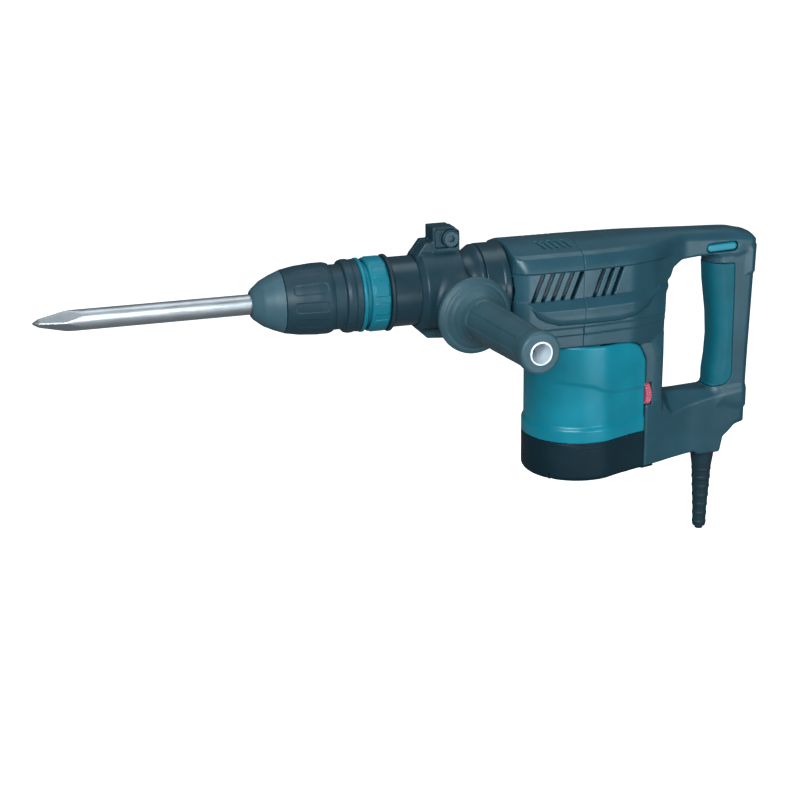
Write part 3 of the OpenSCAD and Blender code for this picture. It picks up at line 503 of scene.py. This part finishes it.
def bit_field(x, y, z):
    """A round shank with a four-sided forged point and the keyways of a keyless chuck."""
    width = curve([(BIT_TIP - 1, 0.9), (BIT_TIP, 1.5), (BIT_TIP + 6, 4.8), (BIT_TIP + 42, 12.9),
                   (BIT_TIP + 46, 13.8)], 1.0)
    shank = np.hypot(y, z) - BIT_R
    point = (np.hypot(y, 0.8) + np.hypot(z, 0.8) - width(x)) * np.sqrt(0.5)
    body = meet(meet(shank, point, 0.4), between(x, BIT_TIP, BIT_BACK), 0.6)
    rollers = np.hypot(y, np.abs(z) - 10.4) - 3.8
    body = cut(body, meet(rollers, between(x, 37.5, 70.5), 1))
    for angle in np.radians((60, 120, 270)):
        across = y * np.cos(angle) + z * np.sin(angle)
        up = z * np.cos(angle) - y * np.sin(angle)
        body = cut(body, np.maximum(np.maximum(np.abs(across) - 2.2, 6.6 - up), 52 - x))
    return body


def cap_field(x, y, z):
    return turned(x, y, z, [
        (0, 9.6), (0, 11.6, 1), (2, 13.9, 3), (9.6, 20, 14), (18.5, 24.3, 20), (CAP_BACK, 27.5),
        (CAP_BACK, 20), (24, 20), (24, 13.1), (5, 13.1), (5, 9.6)])


def cover_field(x, y, z):
    """The release cover, with long shallow grip panels round it."""
    body = turned(x, y, z, [
        (COVER_FRONT, 14.6), (COVER_FRONT, 27.8, 0.6), (40, 30.2, 40), (56, 31.5, 30),
        (66, 31.5, 6), (COVER_BACK, 30.3, 1), (COVER_BACK, SEAT_R + 0.1), (55.5, SEAT_R + 0.1),
        (34, 26), (34, 17.3), (29.8, 17.3), (29.8, 14.6)])
    panel = pad(x - 49, repeat(y, z, 12) * 31, 15, 4.6, 3.5)
    outer = ramp(np.hypot(y, z), 27, 28)
    return body + 0.38 * ramp(-panel, -0.5, 0.7) * outer


def sleeve_field(x, y, z):
    return turned(x, y, z, [
        (64, 25), (64, SEAT_R - 0.2, 0.6), (79.6, SEAT_R - 0.2, 0.8), (80.6, 31.8, 1.2),
        (83.5, 32.6, 2), (87.6, 32.6, 1.5), (89, 31.8, 0.8), (LIP, 32.3, 0.8), (LIP, 30.1),
        (SLEEVE_BACK, 30.1), (SLEEVE_BACK, 18), (78.2, 18), (78.2, 25)])


def collar_field(x, y, z):
    r = span("index_collar")[1][1]
    back = RING_FRONT - 3.4
    return turned(x, y, z, [
        (COLLAR_FRONT, 20), (COLLAR_FRONT, 30), (LIP + 0.1, 30), (LIP + 0.1, r - 0.8, 0.5),
        (LIP + 1.0, r, 0.8), (back - 0.8, r, 0.8), (back, r - 0.9, 0.3), (back, SEAT_R - 0.05),
        (COLLAR_BACK, SEAT_R - 0.05), (COLLAR_BACK, 20)])


def ring_field(x, y, z):
    """The change ring, with a raised rounded pad for each of its twelve positions."""
    r = span("index_collar")[1][1] - 0.3
    body = turned(x, y, z, [
        (RING_FRONT, SEAT_R + SLIP), (RING_FRONT, r - 1, 0.6), (RING_FRONT + 1, r, 0.8),
        (RING_BACK - 0.9, r, 0.8), (RING_BACK, r - 0.9, 0.3), (RING_BACK, SEAT_R + SLIP)])
    raised = pad(x - (RING_FRONT + RING_BACK + 1.4) / 2, repeat(y, z, 12, 0.2) * r, 6.4, 5.8, 2)
    return body - 0.75 * ramp(-raised, -0.4, 0.8) * ramp(np.hypot(y, z), r - 2, r - 1)


def stop_field(x, y, z):
    return turned(x, y, z, [
        (STOP_FRONT, BARREL_R + 0.1), (STOP_FRONT, 33.6, 0.7), (STOP_FRONT + 1, 34.4, 0.9),
        (STOP_BACK - 1, 34.4, 0.9), (STOP_BACK, 33.4, 0.7), (STOP_BACK, BARREL_R + 0.1)])


def barrel_field(x, y, z):
    """The barrel, flared at its rear where it is bolted to the gear case."""
    return turned(x, y, z, [
        (BARREL_FRONT, 20.05), (BARREL_FRONT, BARREL_R), (195, BARREL_R, 12), (202.6, 36.6, 2),
        (BARREL_BACK, 36.6, 0.7), (BARREL_BACK, BARREL_BORE), (150, BARREL_BORE), (150, 16),
        (148.4, 16), (148.4, 20.05)])


def housing_field(x, y, z):
    """The gear case: its round collar, its boxed crank room and the room for the crank gear."""
    collar = turned(x, y, z, [
        (BARREL_BACK + 0.4, BARREL_BORE), (BARREL_BACK + 0.4, 37.2, 0.8), (222, 37.2),
        (223.2, 37.7, 0.6), (227.6, 37.7, 0.9), (CASE_FRONT - 0.3, 36.6, 0.4), (CASE_FRONT - 0.3, 24),
        (240, 24), (240, BARREL_BORE)])
    plan = rounded([(238, 31, 4), (252, 34, 8), (350, 34, 8), (366, 22, 8), (366, -22, 8),
                    (350, -34, 8), (252, -34, 8), (238, -31, 4)])
    ground = outline(x, y, plan)
    box = meet(ground, between(z, HOUSING_FLOOR, HOUSING_TOP), 1)
    gear_room = np.hypot(x - CRANK[0], y)
    body = join(box, meet(gear_room - 35.5, between(z, HOUSING_FLOOR, -14.8), 1))
    deck = -28  # underside of the gears' room
    body = cut(body, np.maximum(ground + 3.5, -14.2 - z))
    body = cut(body, np.maximum(gear_room - 33, z - deck))
    body = cut(body, np.maximum(gear_room - 17, z + 13))
    body = cut(body, np.maximum(np.hypot(x - SHAFT_X, y) - 9, z - deck))
    body = join(cut(body, np.maximum(np.hypot(y, z) - BARREL_BORE, x - 288)), collar)
    screws = np.hypot(np.abs(y) - 19.45, np.abs(z) - 19.45) - 2.5
    return cut(body, np.maximum(screws, x - 245))


# ---------- Case ----------

# Along the tool: half widths of the case at its flanks and at its crown, the lower edge of the
# bulging wing on each flank, and the height of the top. Up the flank: its half width, the depth of the
# recess round the vents, and the bulge of the wing.
half_at = curve([(CASE_FRONT, 37.5), (CASE_FRONT + 9.5, CASE_HALF), (300, CASE_HALF), (345, 41),
                 (370, 32), (390, 22), (405, 17.2), (490, 17.2)], 8)
roof_half = curve([(CASE_FRONT, CASE_HALF), (300, CASE_HALF), (345, 41), (370, 34), (405, 24),
                   (490, 24)], 25)
flank_at = curve([(-60, 44.6), (-44, 44.6), (-43, 45.3), (-37, 45.3), (-36, 46), (-9.6, 46),
                  (15.2, 46), (40, 46)], 0.5)
recess_at = curve([(-60, 0), (-18.6, 0), (-9.6, 2.2), (15.2, 2.2), (15.9, 0), (40, 0)], 0.4)
wing_bottom = curve([(230, -8), (241, -10), (244, -17), (249, -24), (256, -28.5), (270, -33),
                     (330, -34), (349, -31), (362, -23.5), (372, -13), (378, -8)], 3)
wing_top = curve([(-60, 3), (-24, 3.2), (-18.5, 3.5), (-9.6, -2.2), (40, -2.2)], 0.8)
top_at = curve([(CASE_FRONT, TOP), (350, TOP), (400, TOP - 0.7), (415, TOP - 1.5), (445, TOP - 2.5),
                (466, TOP - 4.2), (490, TOP - 7)], 12)
crown = rounded([(-90, 39), (13, 39, 60), (36.8, 31, 1.2), (41.2, 28.2, 1.6), (60, -3), (60, -300),
                 (-90, -300)])


def side_distance(x, side, z):
    """Distance outside the flank of the case, with its vent recess, its wing and its ledges."""
    under = np.clip((z - wing_bottom(x)) / 9, 0, 1)
    bulge = 3.5 * np.sqrt(1 - (1 - under) ** 2)
    wing = np.minimum(wing_top(z), bulge)
    wing = np.where(z > wing_bottom(x), wing, 0)
    relief = np.where(z < -9.6, wing, -recess_at(z))
    return side - (half_at(x) + flank_at(z) - CASE_HALF + relief * ramp(half_at(x), 20, 30))


def louvre(x, z, start, count):
    """Slanted vent slots, the first of them at start."""
    lean = (z + 11) * 9.5 / 24
    pitch = 9.3
    along = x - start - lean
    number = np.clip(np.floor((along + 2.5) / pitch), 0, count - 1)
    return pad(along - number * pitch - 2.1, z - 1.9, 2.0, 12.4, 0.8)


def crown_vents(x, y):
    """Five short slanted slots on each side of the crown."""
    pitch = 6.2
    side = np.abs(y) - 21
    along = x - 260 - side * 5.1 / 14
    number = np.clip(np.round(along / pitch), 0, 4)
    return pad(along - number * pitch, side, 1.2, 7.5, 1.0)


def case_shape(x, y, z):
    """The rounded wedge of the upper case, before its front and its handle are shaped."""
    side = np.abs(y)
    scale = CASE_HALF / roof_half(x)
    roof = outline(side * scale, z + TOP - top_at(x), crown) / np.sqrt(scale)
    return meet(roof, side_distance(x, side, z), 4)


def front_field(x, y, z):
    """The front case: the louvred half ahead of the seam."""
    shape = case_shape(x, y, z)
    shape = meet(shape, CASE_FRONT - x, 2.5)
    low = np.maximum(MOTOR_TOP + 0.2 - z, x - SEAM)
    shell = np.maximum(shape, low)
    inside = meet(shape + WALL, CASE_FRONT + WALL - x, 2)
    shell = cut(shell, inside)
    shell = cut(shell, meet(shape + 6, np.maximum(z + 36, CASE_FRONT + WALL - x)))
    shell = cut(shell, np.maximum(np.hypot(y, z) - 35.8, x - CASE_FRONT - 12))
    slots = np.maximum(louvre(x, z, 243, 5), 38 - np.abs(y))
    shell = cut(shell, slots, 0.4)
    grooves = np.maximum(crown_vents(x, y), 24 - z)
    return cut(shell, grooves, 0.3)


# Along the tool: half width of the column and the lower arm, and the bevel along the arm's lower edge.
foot_half = curve([(290, 44.6), (320, 44.4), (345, 39.5), (363, 33.2), (377, 29), (393, 24.5),
                   (414, 20), (440, 18.3), (490, 17)], 9)
bevel_at = curve([(380, 112), (405, 112), (470, 104.5), (490, 103)], 5)
GRIP_HALF = 17.0
ARM_TOP = -119.3
CROOK_X, CROOK_LOW = 396, -6  # where the upper case narrows into the D-handle, and its underside there
UPPER_LOW = -62  # underside of the upper case, ahead of the D-handle
SIDE_VIEW = rounded([
    (SEAM - 20, TOP + 20), (REAR + 1.4, TOP + 20), (REAR + 1.4, 24, 9), (REAR + 0.2, 10, 9),
    (REAR, 0), (REAR - 1, -38), (REAR - 2.5, -89), (REAR - 3, -115), (REAR - 3, -156.5, 3),
    (466, -159.5, 3), (453.6, -168.5, 3), (450.6, BOSS_Z, 3), (427.5, BOSS_Z, 3), (422, -180.4, 3),
    (380.5, -183, 2), (DIAL_FACE, -183), (DIAL_FACE, -78, 14), (355, -62, 14), (343, -57.3, 20),
    (322, -56), (SEAM - 20, -54.8)])
SKYLINE = rounded([
    (SEAM - 20, TOP), (350, TOP, 80), (415, TOP - 1.5, 60), (450, TOP - 2.8, 20),
    (REAR + 1.6, 34.2, 15), (REAR + 1.6, -300), (SEAM - 20, -300)])
COLUMN_REAR = ((-110, -18), (383.7, 385.4))  # heights, and the back of the column there
OPENING = rounded([
    (385.4, -18, 1.5), (388, -13, 2), (387.2, -7, 2), (390.5, -4, 2), (393.5, 4, 5), (403, 9.8, 7),
    (420, 11.4, 10), (470, 11.8), (470, -130), (383.7, -130), (383.7, -110, 2)])
GRIP_SIDE = rounded([
    (434.5, 18), (434.5, 3), (436, -16, 20), (440.6, -48, 30), (442, -70, 30), (441, -90, 20),
    (439.2, -104), (439.2, -140), (REAR - 3, -140), (REAR - 3, -115), (REAR - 2.5, -89),
    (REAR - 1, -38), (REAR, 0), (REAR + 0.2, 18)])


def handle_outer(x, y, z):
    """Outside of the rear case, its column, the lower arm and the D-handle."""
    side = np.abs(y)
    sheet = np.maximum(outline(x, z, SIDE_VIEW), outline(x, z, SKYLINE))
    framed = np.maximum(sheet, -outline(x, z, OPENING))
    edge = 0.6 + 1.9 * np.maximum(ramp(z, -52, -44), ramp(x, 340, 352)) + 5 * ramp(x, 455, 470)
    upper = case_shape(x, y, z) + 2 * ramp(z, -52, -62) * ramp(x, 340, 356)
    upper = meet(framed, upper, edge)
    upper = np.maximum(upper, np.where(x < CROOK_X, UPPER_LOW, CROOK_LOW) - z)
    fade = 22 * ramp(x, 396, 379)
    bevel = (side + np.minimum(z, ARM_TOP) + bevel_at(x) - fade) * np.sqrt(0.5)
    arm = meet(side - foot_half(x) + 2.5 * ramp(z, -80, -56), bevel, 1.5)
    column = x < np.interp(z, *COLUMN_REAR)
    arm = meet(arm, np.where(column, z + 54, z - ARM_TOP), 1.5)
    arm = meet(arm, np.where(column, framed, sheet), edge)
    grip = meet(outline(x, z, GRIP_SIDE), side - GRIP_HALF, 6.5 + 6.5 * ramp(x, 466, 450))
    grip = np.maximum(grip, between(z, -138, 16))
    return join(join(upper, arm, 0.2), grip, 5)


# Places (x, z) of the screws that hold the halves of the rear case together.
POSTS = [(399, 24), (466, 24), (376, -40), (377, -82), (377, -150), (464, -142)]
PAD_SIDE = rounded([
    (420, PAD_TOP), (457.8, PAD_TOP, 3), (458.6, -60), (459.4, PAD_BOTTOM + 4, 11),
    (440, PAD_BOTTOM - 1, 14), (424, PAD_BOTTOM + 5), (410, PAD_BOTTOM + 5)])


def switch_axes(x, z):
    """Places along and across the slightly tilted switch bar."""
    return x - SWITCH[0], z - SWITCH[2] - (x - SWITCH[0]) * 0.035


def dial_radius(y, z):
    return np.hypot(y - DIAL[1], z - DIAL[2])


def handle_shell(x, y, z):
    """Both halves of the rear case as one hollow shell, with its openings."""
    outer = handle_outer(x, y, z)
    shell = cut(outer, np.maximum(outer + WALL, SEAM - 5 - x))
    for px, pz in POSTS:
        post = np.hypot(x - px, z - pz)
        shell = join(shell, meet(outer, post - 5))
    for px, pz in POSTS:
        post = np.hypot(x - px, z - pz)
        shell = cut(shell, np.maximum(post - SCREW_R, -13 - y))
        shell = cut(shell, np.maximum(post - HEAD_R, 13 - y), 0.4)
    shell = np.maximum(shell, SEAM - x + 0.05)
    shell = cut(shell, np.maximum(louvre(x, z, 302, 3), 30 - np.abs(y)), 0.4)
    pad_side = outline(x, z, PAD_SIDE)
    shell = cut(shell, np.maximum(pad_side - 0.4, -outer - 2.2), 0.3)
    shell = cut(shell, pad(*switch_axes(x, z), SWITCH_HALF[0] + 0.8, 4.3, 4.2), 0.8)
    shell = cut(shell, np.maximum(dial_radius(y, z) - 12, x - DIAL_FACE - 7), 0.8)
    shell = cut(shell, np.maximum(np.hypot(x - CORD[0], y) - 9.2, z - BOSS_Z - WALL - 1))
    return shell


def handle_left_field(x, y, z):
    return np.maximum(handle_shell(x, y, z), y + 0.03)


def handle_right_field(x, y, z):
    return np.maximum(handle_shell(x, y, z), 0.03 - y)


def pad_field(x, y, z):
    """The soft pad let into the front of the D-handle's grip."""
    outer = handle_outer(x, y, z)
    band = np.maximum(outer - 0.35, -outer - 2.1)
    return meet(band, outline(x, z, PAD_SIDE), 0.6)


def switch_field(x, y, z):
    bar = pad(*switch_axes(x, z), SWITCH_HALF[0], SWITCH_HALF[2], SWITCH_HALF[2] - 0.05)
    return meet(bar, np.abs(y) - SWITCH_HALF[1], 1.6)


def dial_field(x, y, z):
    """The speed dial: a knurled wheel on the board's stub."""
    radius = dial_radius(y, z)
    turn_angle = np.arctan2(z - DIAL[2], y - DIAL[1])
    knurl = 0.45 * np.cos(24 * turn_angle) * ramp(radius, 8, 10)
    wheel = meet(radius - 10.6 - knurl, between(x, DIAL_FACE, DIAL_BACK), 0.8)
    return cut(wheel, radius - 2.05)


# ---------- Motor ----------

# Along the tool: half width of the motor's flanks, and the line under its raised upper panel.
closing = curve([(280, MOTOR_HALF), (315, MOTOR_HALF), (334, 42.0), (355, 35), (363, 33),
                 (378, 29.2), (400, 22)], 12)
step_line = curve([(255, -88.5), (277, -89), (292, -90.5), (304, -93), (312, -97), (327, -101.5),
                   (350, -103), (363, -103)], 3)


def motor_plan(x, y, inset):
    """Signed distance to the motor's plan: half an oval in front, straight flanks behind."""
    ahead = np.minimum(x - 306, 0) / (51 - inset)
    across = np.abs(y) / (MOTOR_HALF - inset)
    oval = (np.hypot(ahead, across) - 1) * (MOTOR_HALF - inset)
    return np.where(x < 306, oval, np.abs(y) - (closing(x) - inset))


def teal_boundary(x, z):
    return outline(x, z, rounded([
        (230, MOTOR_TOP + 0.1), (SEAM, MOTOR_TOP + 0.1), (322, MOTOR_TOP - 1.1),
        (343, MOTOR_TOP - 2.4, 20), (355, -62.4, 14), (MOTOR_BACK, -78.4, 14), (MOTOR_BACK, -160),
        (230, -160)]))


def motor_outer(x, y, z):
    """Outside of the motor housing, with its raised upper panel and its flared foot."""
    flare = 2.0 * ramp(z, -136, -131.5)
    panel = 1.4 * ramp(z - step_line(x), -3, 2) * ramp(x, 262, 280)
    skirt = motor_plan(x, y, flare - panel)
    return meet(skirt, teal_boundary(x, z), 2.0)


def motor_field(x, y, z):
    outer = motor_outer(x, y, z)
    shell = meet(outer, JOINT + 0.05 - z, 0.5)
    return cut(shell, np.maximum(motor_plan(x, y, 5), x - MOTOR_BACK + 4))


# Along the tool: the lower edge of the base cover's scoop.
scoop_line = curve([(255, JOINT), (268, JOINT), (280, -148.2), (299, -153), (325, -153.5),
                    (350, -151), (366, -147)], 3)


def base_field(x, y, z):
    """The base cover: a rounded pan with a shallow scoop under the joint."""
    scoop = 1.1 * ramp(z - scoop_line(x), -0.8, 0.8) * ramp(x, 262, 272)
    outer = motor_plan(x, y, scoop)
    pan = meet(meet(outer, BASE - z, 6), z - JOINT + 0.2, 0.4)
    tongue = meet(np.abs(y) - closing(x) + 1.5, between(x, MOTOR_BACK - 2, BASE_BACK), 1.0)
    tongue = meet(tongue, between(z, BASE, BASE + 1.9), 0.7)
    pan = meet(pan, x - MOTOR_BACK, 1)
    room = np.maximum(BASE + 4 - z, x - MOTOR_BACK + 3)
    shell = cut(pan, np.maximum(motor_plan(x, y, WALL + 1), room))
    hub = np.maximum(np.hypot(x - SHAFT_X, y) - 14, between(z, BASE + 1, -151))
    shell = join(join(shell, hub), tongue)
    shell = cut(shell, np.maximum(np.hypot(x - SHAFT_X, y) - 11, -161 - z))
    for px, py in ((271, 29), (342, 33.5)):
        screw = np.hypot(x - px, np.abs(y) - py)
        shell = join(shell, np.maximum(screw - 5, between(z, BASE + 1, JOINT - 0.2)))
        shell = cut(cut(shell, screw - SCREW_R), np.maximum(screw - HEAD_R, z - BASE - 8), 0.3)
    return shell


# ---------- Cord ----------


def guard_field(x, y, z):
    """The cord's bend relief: a tapered rubber sleeve with raised rings."""
    r = np.hypot(x - CORD[0], y)
    drop = BOSS_Z - z
    width = curve([(-8, 10.2), (-3.4, 10.2), (-3.3, 9.0), (-0.2, 9.0), (0.2, 11.8), (4, 11.4),
                   (19, 9.3), (62, 6.9), (80, 6.4)], 0.5)
    ribs = 0.4 * ramp(np.cos(2 * np.pi * (drop - 20) / 9.5), 0.2, 0.7) * ramp(drop, 18, 22)
    sleeve = meet(r - width(drop) - ribs, between(z, CORD_END + 3, BOSS_Z + 6), 0.8)
    return cut(sleeve, r - 4.1)


def cord_field(x, y, z):
    r = np.hypot(x - CORD[0], y)
    return meet(r - 4, between(z, CORD_END, -150), 0.5)


# ---------- Side handle ----------


def clamp_field(x, y, z):
    """The clamp: a split ring round the barrel, its ear, and the neck that carries the grip."""
    r = np.hypot(y, z)
    ring = turned(x, y, z, [
        (CLAMP_FRONT, BARREL_R + 0.1), (CLAMP_FRONT, 32.6, 0.8), (CLAMP_FRONT + 5, 36.6, 3),
        (CLAMP_BACK, 36.6, 1.5), (CLAMP_BACK, BARREL_R + 0.1)])
    keel = rounded([(CLAMP_FRONT, -32.5), (CLAMP_FRONT + 10, -42.8, 2), (CLAMP_BACK, -45.3, 2),
                    (CLAMP_BACK, 20), (CLAMP_FRONT + 20, 20), (CLAMP_FRONT + 4, 0)])
    lug = rounded([(CLAMP_FRONT, 0), (CLAMP_FRONT + 0.4, 32.5, 2), (CLAMP_FRONT + 9.5, 44.4, 1.5),
                   (CLAMP_FRONT + 18, 44.4), (CLAMP_FRONT + 18, 34), (CLAMP_BACK, 34), (CLAMP_BACK, 0)])
    spine = np.minimum(outline(x, z, keel), outline(x, z, lug))
    body = join(ring, meet(spine, np.abs(y) - 12, 1.5), 2.5)
    ear = rounded([(CLAMP_FRONT + 15.8, 28), (CLAMP_FRONT + 15.8, EAR_TOP, 1.8),
                   (CLAMP_BACK - 5.5, EAR_TOP, 2), (CLAMP_BACK, EAR_TOP - 4.5, 1.5), (CLAMP_BACK, 28)])
    near_ear = meet(outline(x, z, ear), between(y, -12, 2), 1.0)
    window = pad(x - (CLAMP_FRONT + 15.8 + CLAMP_BACK) / 2 - 0.5, z - BOLT[2] - 0.3, 10.6, 8.4, 2.5)
    near_ear = cut(near_ear, np.maximum(window, y + 9.6), 0.6)
    bolt_r = np.hypot(x - BOLT[0], z - BOLT[2])
    near_ear = join(near_ear, meet(bolt_r - 8, between(y, -14, -8), 1), 0.5)
    far_ear = meet(outline(x, z, ear) + 0.8, between(y, 4, 12.5), 1)
    body = join(body, join(near_ear, far_ear), 1.5)
    along, side, rise = grip_frame(x, y, z)
    reach = np.clip((-y - 22) / 26, 0, 1)
    centre_x = 173 + reach * 15.3
    centre_z = 6 - reach * 20.5
    radius = 22 - 0.5 * reach
    neck = np.hypot(x - centre_x, z - centre_z) - radius
    neck = meet(neck * 0.85, np.maximum(along - 46, y + 14), 0.8)
    body = join(body, neck, 2.0)
    body = cut(body, np.maximum(r - BARREL_R - 0.05, x - 197))
    body = cut(body, np.maximum(r - 37.6, 196 - x))
    body = cut(body, np.maximum(between(y, 2, 4), 25 - z))
    body = cut(body, bolt_r - 3.5)
    body = cut(body, np.maximum(bolt_r - 6.5, y + 9))
    body = cut(body, np.maximum(bolt_r - 5.1, 9.2 - y))
    return cut(body, np.maximum(np.hypot(side, rise) - TUBE_R, 31 - along))


# Along the side handle: radius of the grip, with its flange first.
grip_width = curve([(45, 28), (47.5, 33.2), (49.5, 34.4), (52.5, 34.3), (54.5, 32), (56, 29.5),
                    (61, 24.0), (67, 20.4), (74, 18.8), (110, 18.2), (150, 17.3), (168, 17.0),
                    (174, 17.9), (179.5, 17.9), (182.5, 16.4)], 1.2)


def side_grip_field(x, y, z):
    """The side grip: a dished flange, a waisted handle with long panels, and a rolled end."""
    along, side, rise = grip_frame(x, y, z)
    r = np.hypot(side, rise)
    angle = repeat(side, rise, 6, 0.3)
    panel = pad(along - 119, angle * 17.5, 46, 6.6, 5)
    width = grip_width(along) - 0.7 * ramp(-panel, -0.2, 1.1)
    dish = 0.9 * ramp(r, 30.5, 29) * ramp(along, 52, 54) * ramp(along, 60, 56)
    body = meet((r - width + dish) * 0.8, between(along, 46.05, GRIP_END), 1.2)
    return cut(body, r - TUBE_R)


def tube_field(x, y, z):
    """The plated tube through the side grip, open at its outer end."""
    along, side, rise = grip_frame(x, y, z)
    r = np.hypot(side, rise)
    tube = meet(r - TUBE_R, between(along, 35.2, GRIP_END + 1), 0.6)
    return cut(tube, np.maximum(r - TUBE_BORE, 50 - along), 0.3)


# ---------- Pieces ----------

piece("bit_look", bit_field, 0.8, bit_steel, "chisel", "bit")
piece("nose_cap_look", cap_field, 0.8, cap_rubber, "holder", "nose_cap")
piece("release_cover_look", cover_field, 0.8, cover_plastic, "cover", "release_cover")
piece("rear_sleeve_look", sleeve_field, 0.8, cover_plastic, "holder", "rear_sleeve")
piece("index_collar_look", collar_field, 0.8, ring_plastic, "holder", "index_collar")
piece("change_ring_look", ring_field, 0.7, ring_plastic, "ring", "change_ring")
piece("stop_ring_look", stop_field, 0.7, cord_rubber, "housing", "stop_ring")
piece("barrel_look", barrel_field, 1.0, barrel_paint, "housing", "barrel_housing")
piece("gear_case_look", housing_field, 1.1, barrel_paint, "housing", "crank_housing")
piece("case_front_look", front_field, 0.9, case_plastic, "housing", "case_front")
piece("handle_left_look", handle_left_field, 1.1, case_plastic, "housing", "handle_left")
piece("handle_right_look", handle_right_field, 1.1, case_plastic, "housing", "handle_right")
piece("grip_pad_look", pad_field, 0.9, teal_rubber, "housing", "grip_pad")
piece("switch_look", switch_field, 0.8, teal_plastic, "switch", "switch_bar")
piece("dial_look", dial_field, 0.5, red_plastic, "dial", "speed_dial")
piece("motor_look", motor_field, 1.1, teal_plastic, "housing", "motor_housing")
piece("base_look", base_field, 1.1, base_plastic, "housing", "base_cover")
piece("cord_guard_look", guard_field, 0.8, cord_rubber, "housing", "cord_guard")
piece("cord_look", cord_field, 0.8, cord_rubber, "housing", "power_cord")
piece("clamp_look", clamp_field, 0.9, clamp_plastic, "side_handle", "handle_clamp")
piece("side_grip_look", side_grip_field, 0.9, grip_rubber, "side_handle", "side_grip")
piece("grip_tube_look", tube_field, 0.8, tube_metal, "side_handle", "grip_tube")

# The spring is the CAD's own, as a copy on the holder.
spring_node = frame["nodes"]["cover_spring"]
spring = bpy.data.objects.new("cover_spring_look", spring_node.data.copy())
spring.matrix_world = spring_node.matrix_world
stand_in(spring, "holder", "cover_spring")
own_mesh(spring)

# ---------- Stage, light and camera ----------

DAYLIGHT = (0.80, 0.93, 1.0)
FLOOR_REACH = 60.0
FLOOR_GAP = 0.001  # under the lowest point of the tool
PAPER_GLOW = 0.92  # how white the floor is to the camera
SKY_GLOW = (-0.3, 0.9, 0.02, 0.24)  # from this height to that, and the world's strength at each
LOOK_AT = (127.4, -22.1, -94.3)
AZIMUTH, ELEVATION, ROLL = np.radians((-16.5, 18.0, -1.0))
DISTANCE = 1430.0
LENS, SENSOR = 72, 36


def metres(x, y, z):
    """A place in the row frame from millimetres off the nose."""
    return Vector(NOSE + np.array([x, y, z]) / 1000)


def softbox(name, place, target, size, power):
    """A rectangular light of the given size in metres, turned to its target."""
    light = bpy.data.lights.new(name, "AREA")
    light.shape = "RECTANGLE"
    light.size, light.size_y = size
    light.energy = power
    light.color = DAYLIGHT
    lamp = bpy.data.objects.new(name, light)
    lamp.location = metres(*place)
    lamp.rotation_euler = (metres(*target) - lamp.location).to_track_quat("-Z", "Y").to_euler()
    bpy.context.scene.collection.objects.link(lamp)


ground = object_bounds()[0].z - FLOOR_GAP
mesh = bpy.data.meshes.new("floor")
mesh.from_pydata([(x * FLOOR_REACH, y * FLOOR_REACH, ground)
                  for x, y in ((-1, -1), (1, -1), (1, 1), (-1, 1))], [], [(0, 1, 2, 3)])
floor = bpy.data.objects.new("floor", mesh)
bpy.context.scene.collection.objects.link(floor)
floor_paint = Paint("floor_paper")
seen = floor_paint.add("ShaderNodeLightPath").outputs["Is Camera Ray"]
floor_paint.set(Base_Color=floor_paint.mix(seen, (0.25, 0.25, 0.25), (0.9, 0.9, 0.9)), Roughness=0.9,
                Specular_IOR_Level=0.1, Emission_Color=(1, 1, 1, 1))
lift = floor_paint.add("ShaderNodeMath", operation="MULTIPLY")
lift.inputs[1].default_value = PAPER_GLOW
floor_paint.link(seen, lift.inputs[0])
floor_paint.set(Emission_Strength=lift.outputs[0])
mesh.materials.append(floor_paint.material)

# The world is plain white to the camera, and a dim cool glow from above to everything else.
world = bpy.data.worlds.new("studio")
bpy.context.scene.world = world
world.use_nodes = True
tree = world.node_tree
sky = tree.nodes["Background"]
ways = tree.nodes.new("ShaderNodeLightPath")
height = tree.nodes.new("ShaderNodeSeparateXYZ")
tree.links.new(tree.nodes.new("ShaderNodeTexCoord").outputs["Generated"], height.inputs[0])
glow = tree.nodes.new("ShaderNodeMapRange")
for key, number in zip(("From Min", "From Max", "To Min", "To Max"), SKY_GLOW):
    glow.inputs[key].default_value = number
tree.links.new(height.outputs["Z"], glow.inputs["Value"])
level = tree.nodes.new("ShaderNodeMix")
tree.links.new(ways.outputs["Is Camera Ray"], level.inputs[0])
tree.links.new(glow.outputs["Result"], level.inputs[2])
level.inputs[3].default_value = 1.0
tree.links.new(level.outputs[0], sky.inputs["Strength"])
tint = tree.nodes.new("ShaderNodeMix")
tint.data_type = "RGBA"
tree.links.new(ways.outputs["Is Camera Ray"], tint.inputs["Factor"])
tint.inputs[6].default_value, tint.inputs[7].default_value = (*DAYLIGHT, 1), (1, 1, 1, 1)
tree.links.new(tint.outputs[2], sky.inputs["Color"])

softbox("key", (-350, -1100, 480), (250, 0, -40), (0.7, 0.5), 27)
softbox("top", (250, 100, 1000), (250, 0, 0), (1.3, 0.5), 6)
softbox("sheen", (640, -960, -130), (330, -46, -20), (0.6, 0.3), 5)
bpy.context.scene.view_settings.view_transform = "Standard"

camera_data = bpy.data.cameras.new("camera")
camera_data.lens, camera_data.sensor_width = LENS, SENSOR
camera = bpy.data.objects.new("camera", camera_data)
back = Vector((np.sin(AZIMUTH) * np.cos(ELEVATION), -np.cos(AZIMUTH) * np.cos(ELEVATION),
               np.sin(ELEVATION)))
turn_round = Matrix.Rotation(ROLL, 3, "Z")
facing = back.to_track_quat("Z", "Y").to_matrix()
camera.matrix_world = Matrix.Translation(metres(*LOOK_AT) + back * DISTANCE / 1000) @ (
    facing @ turn_round).to_4x4()
bpy.context.scene.collection.objects.link(camera)
bpy.context.scene.camera = camera
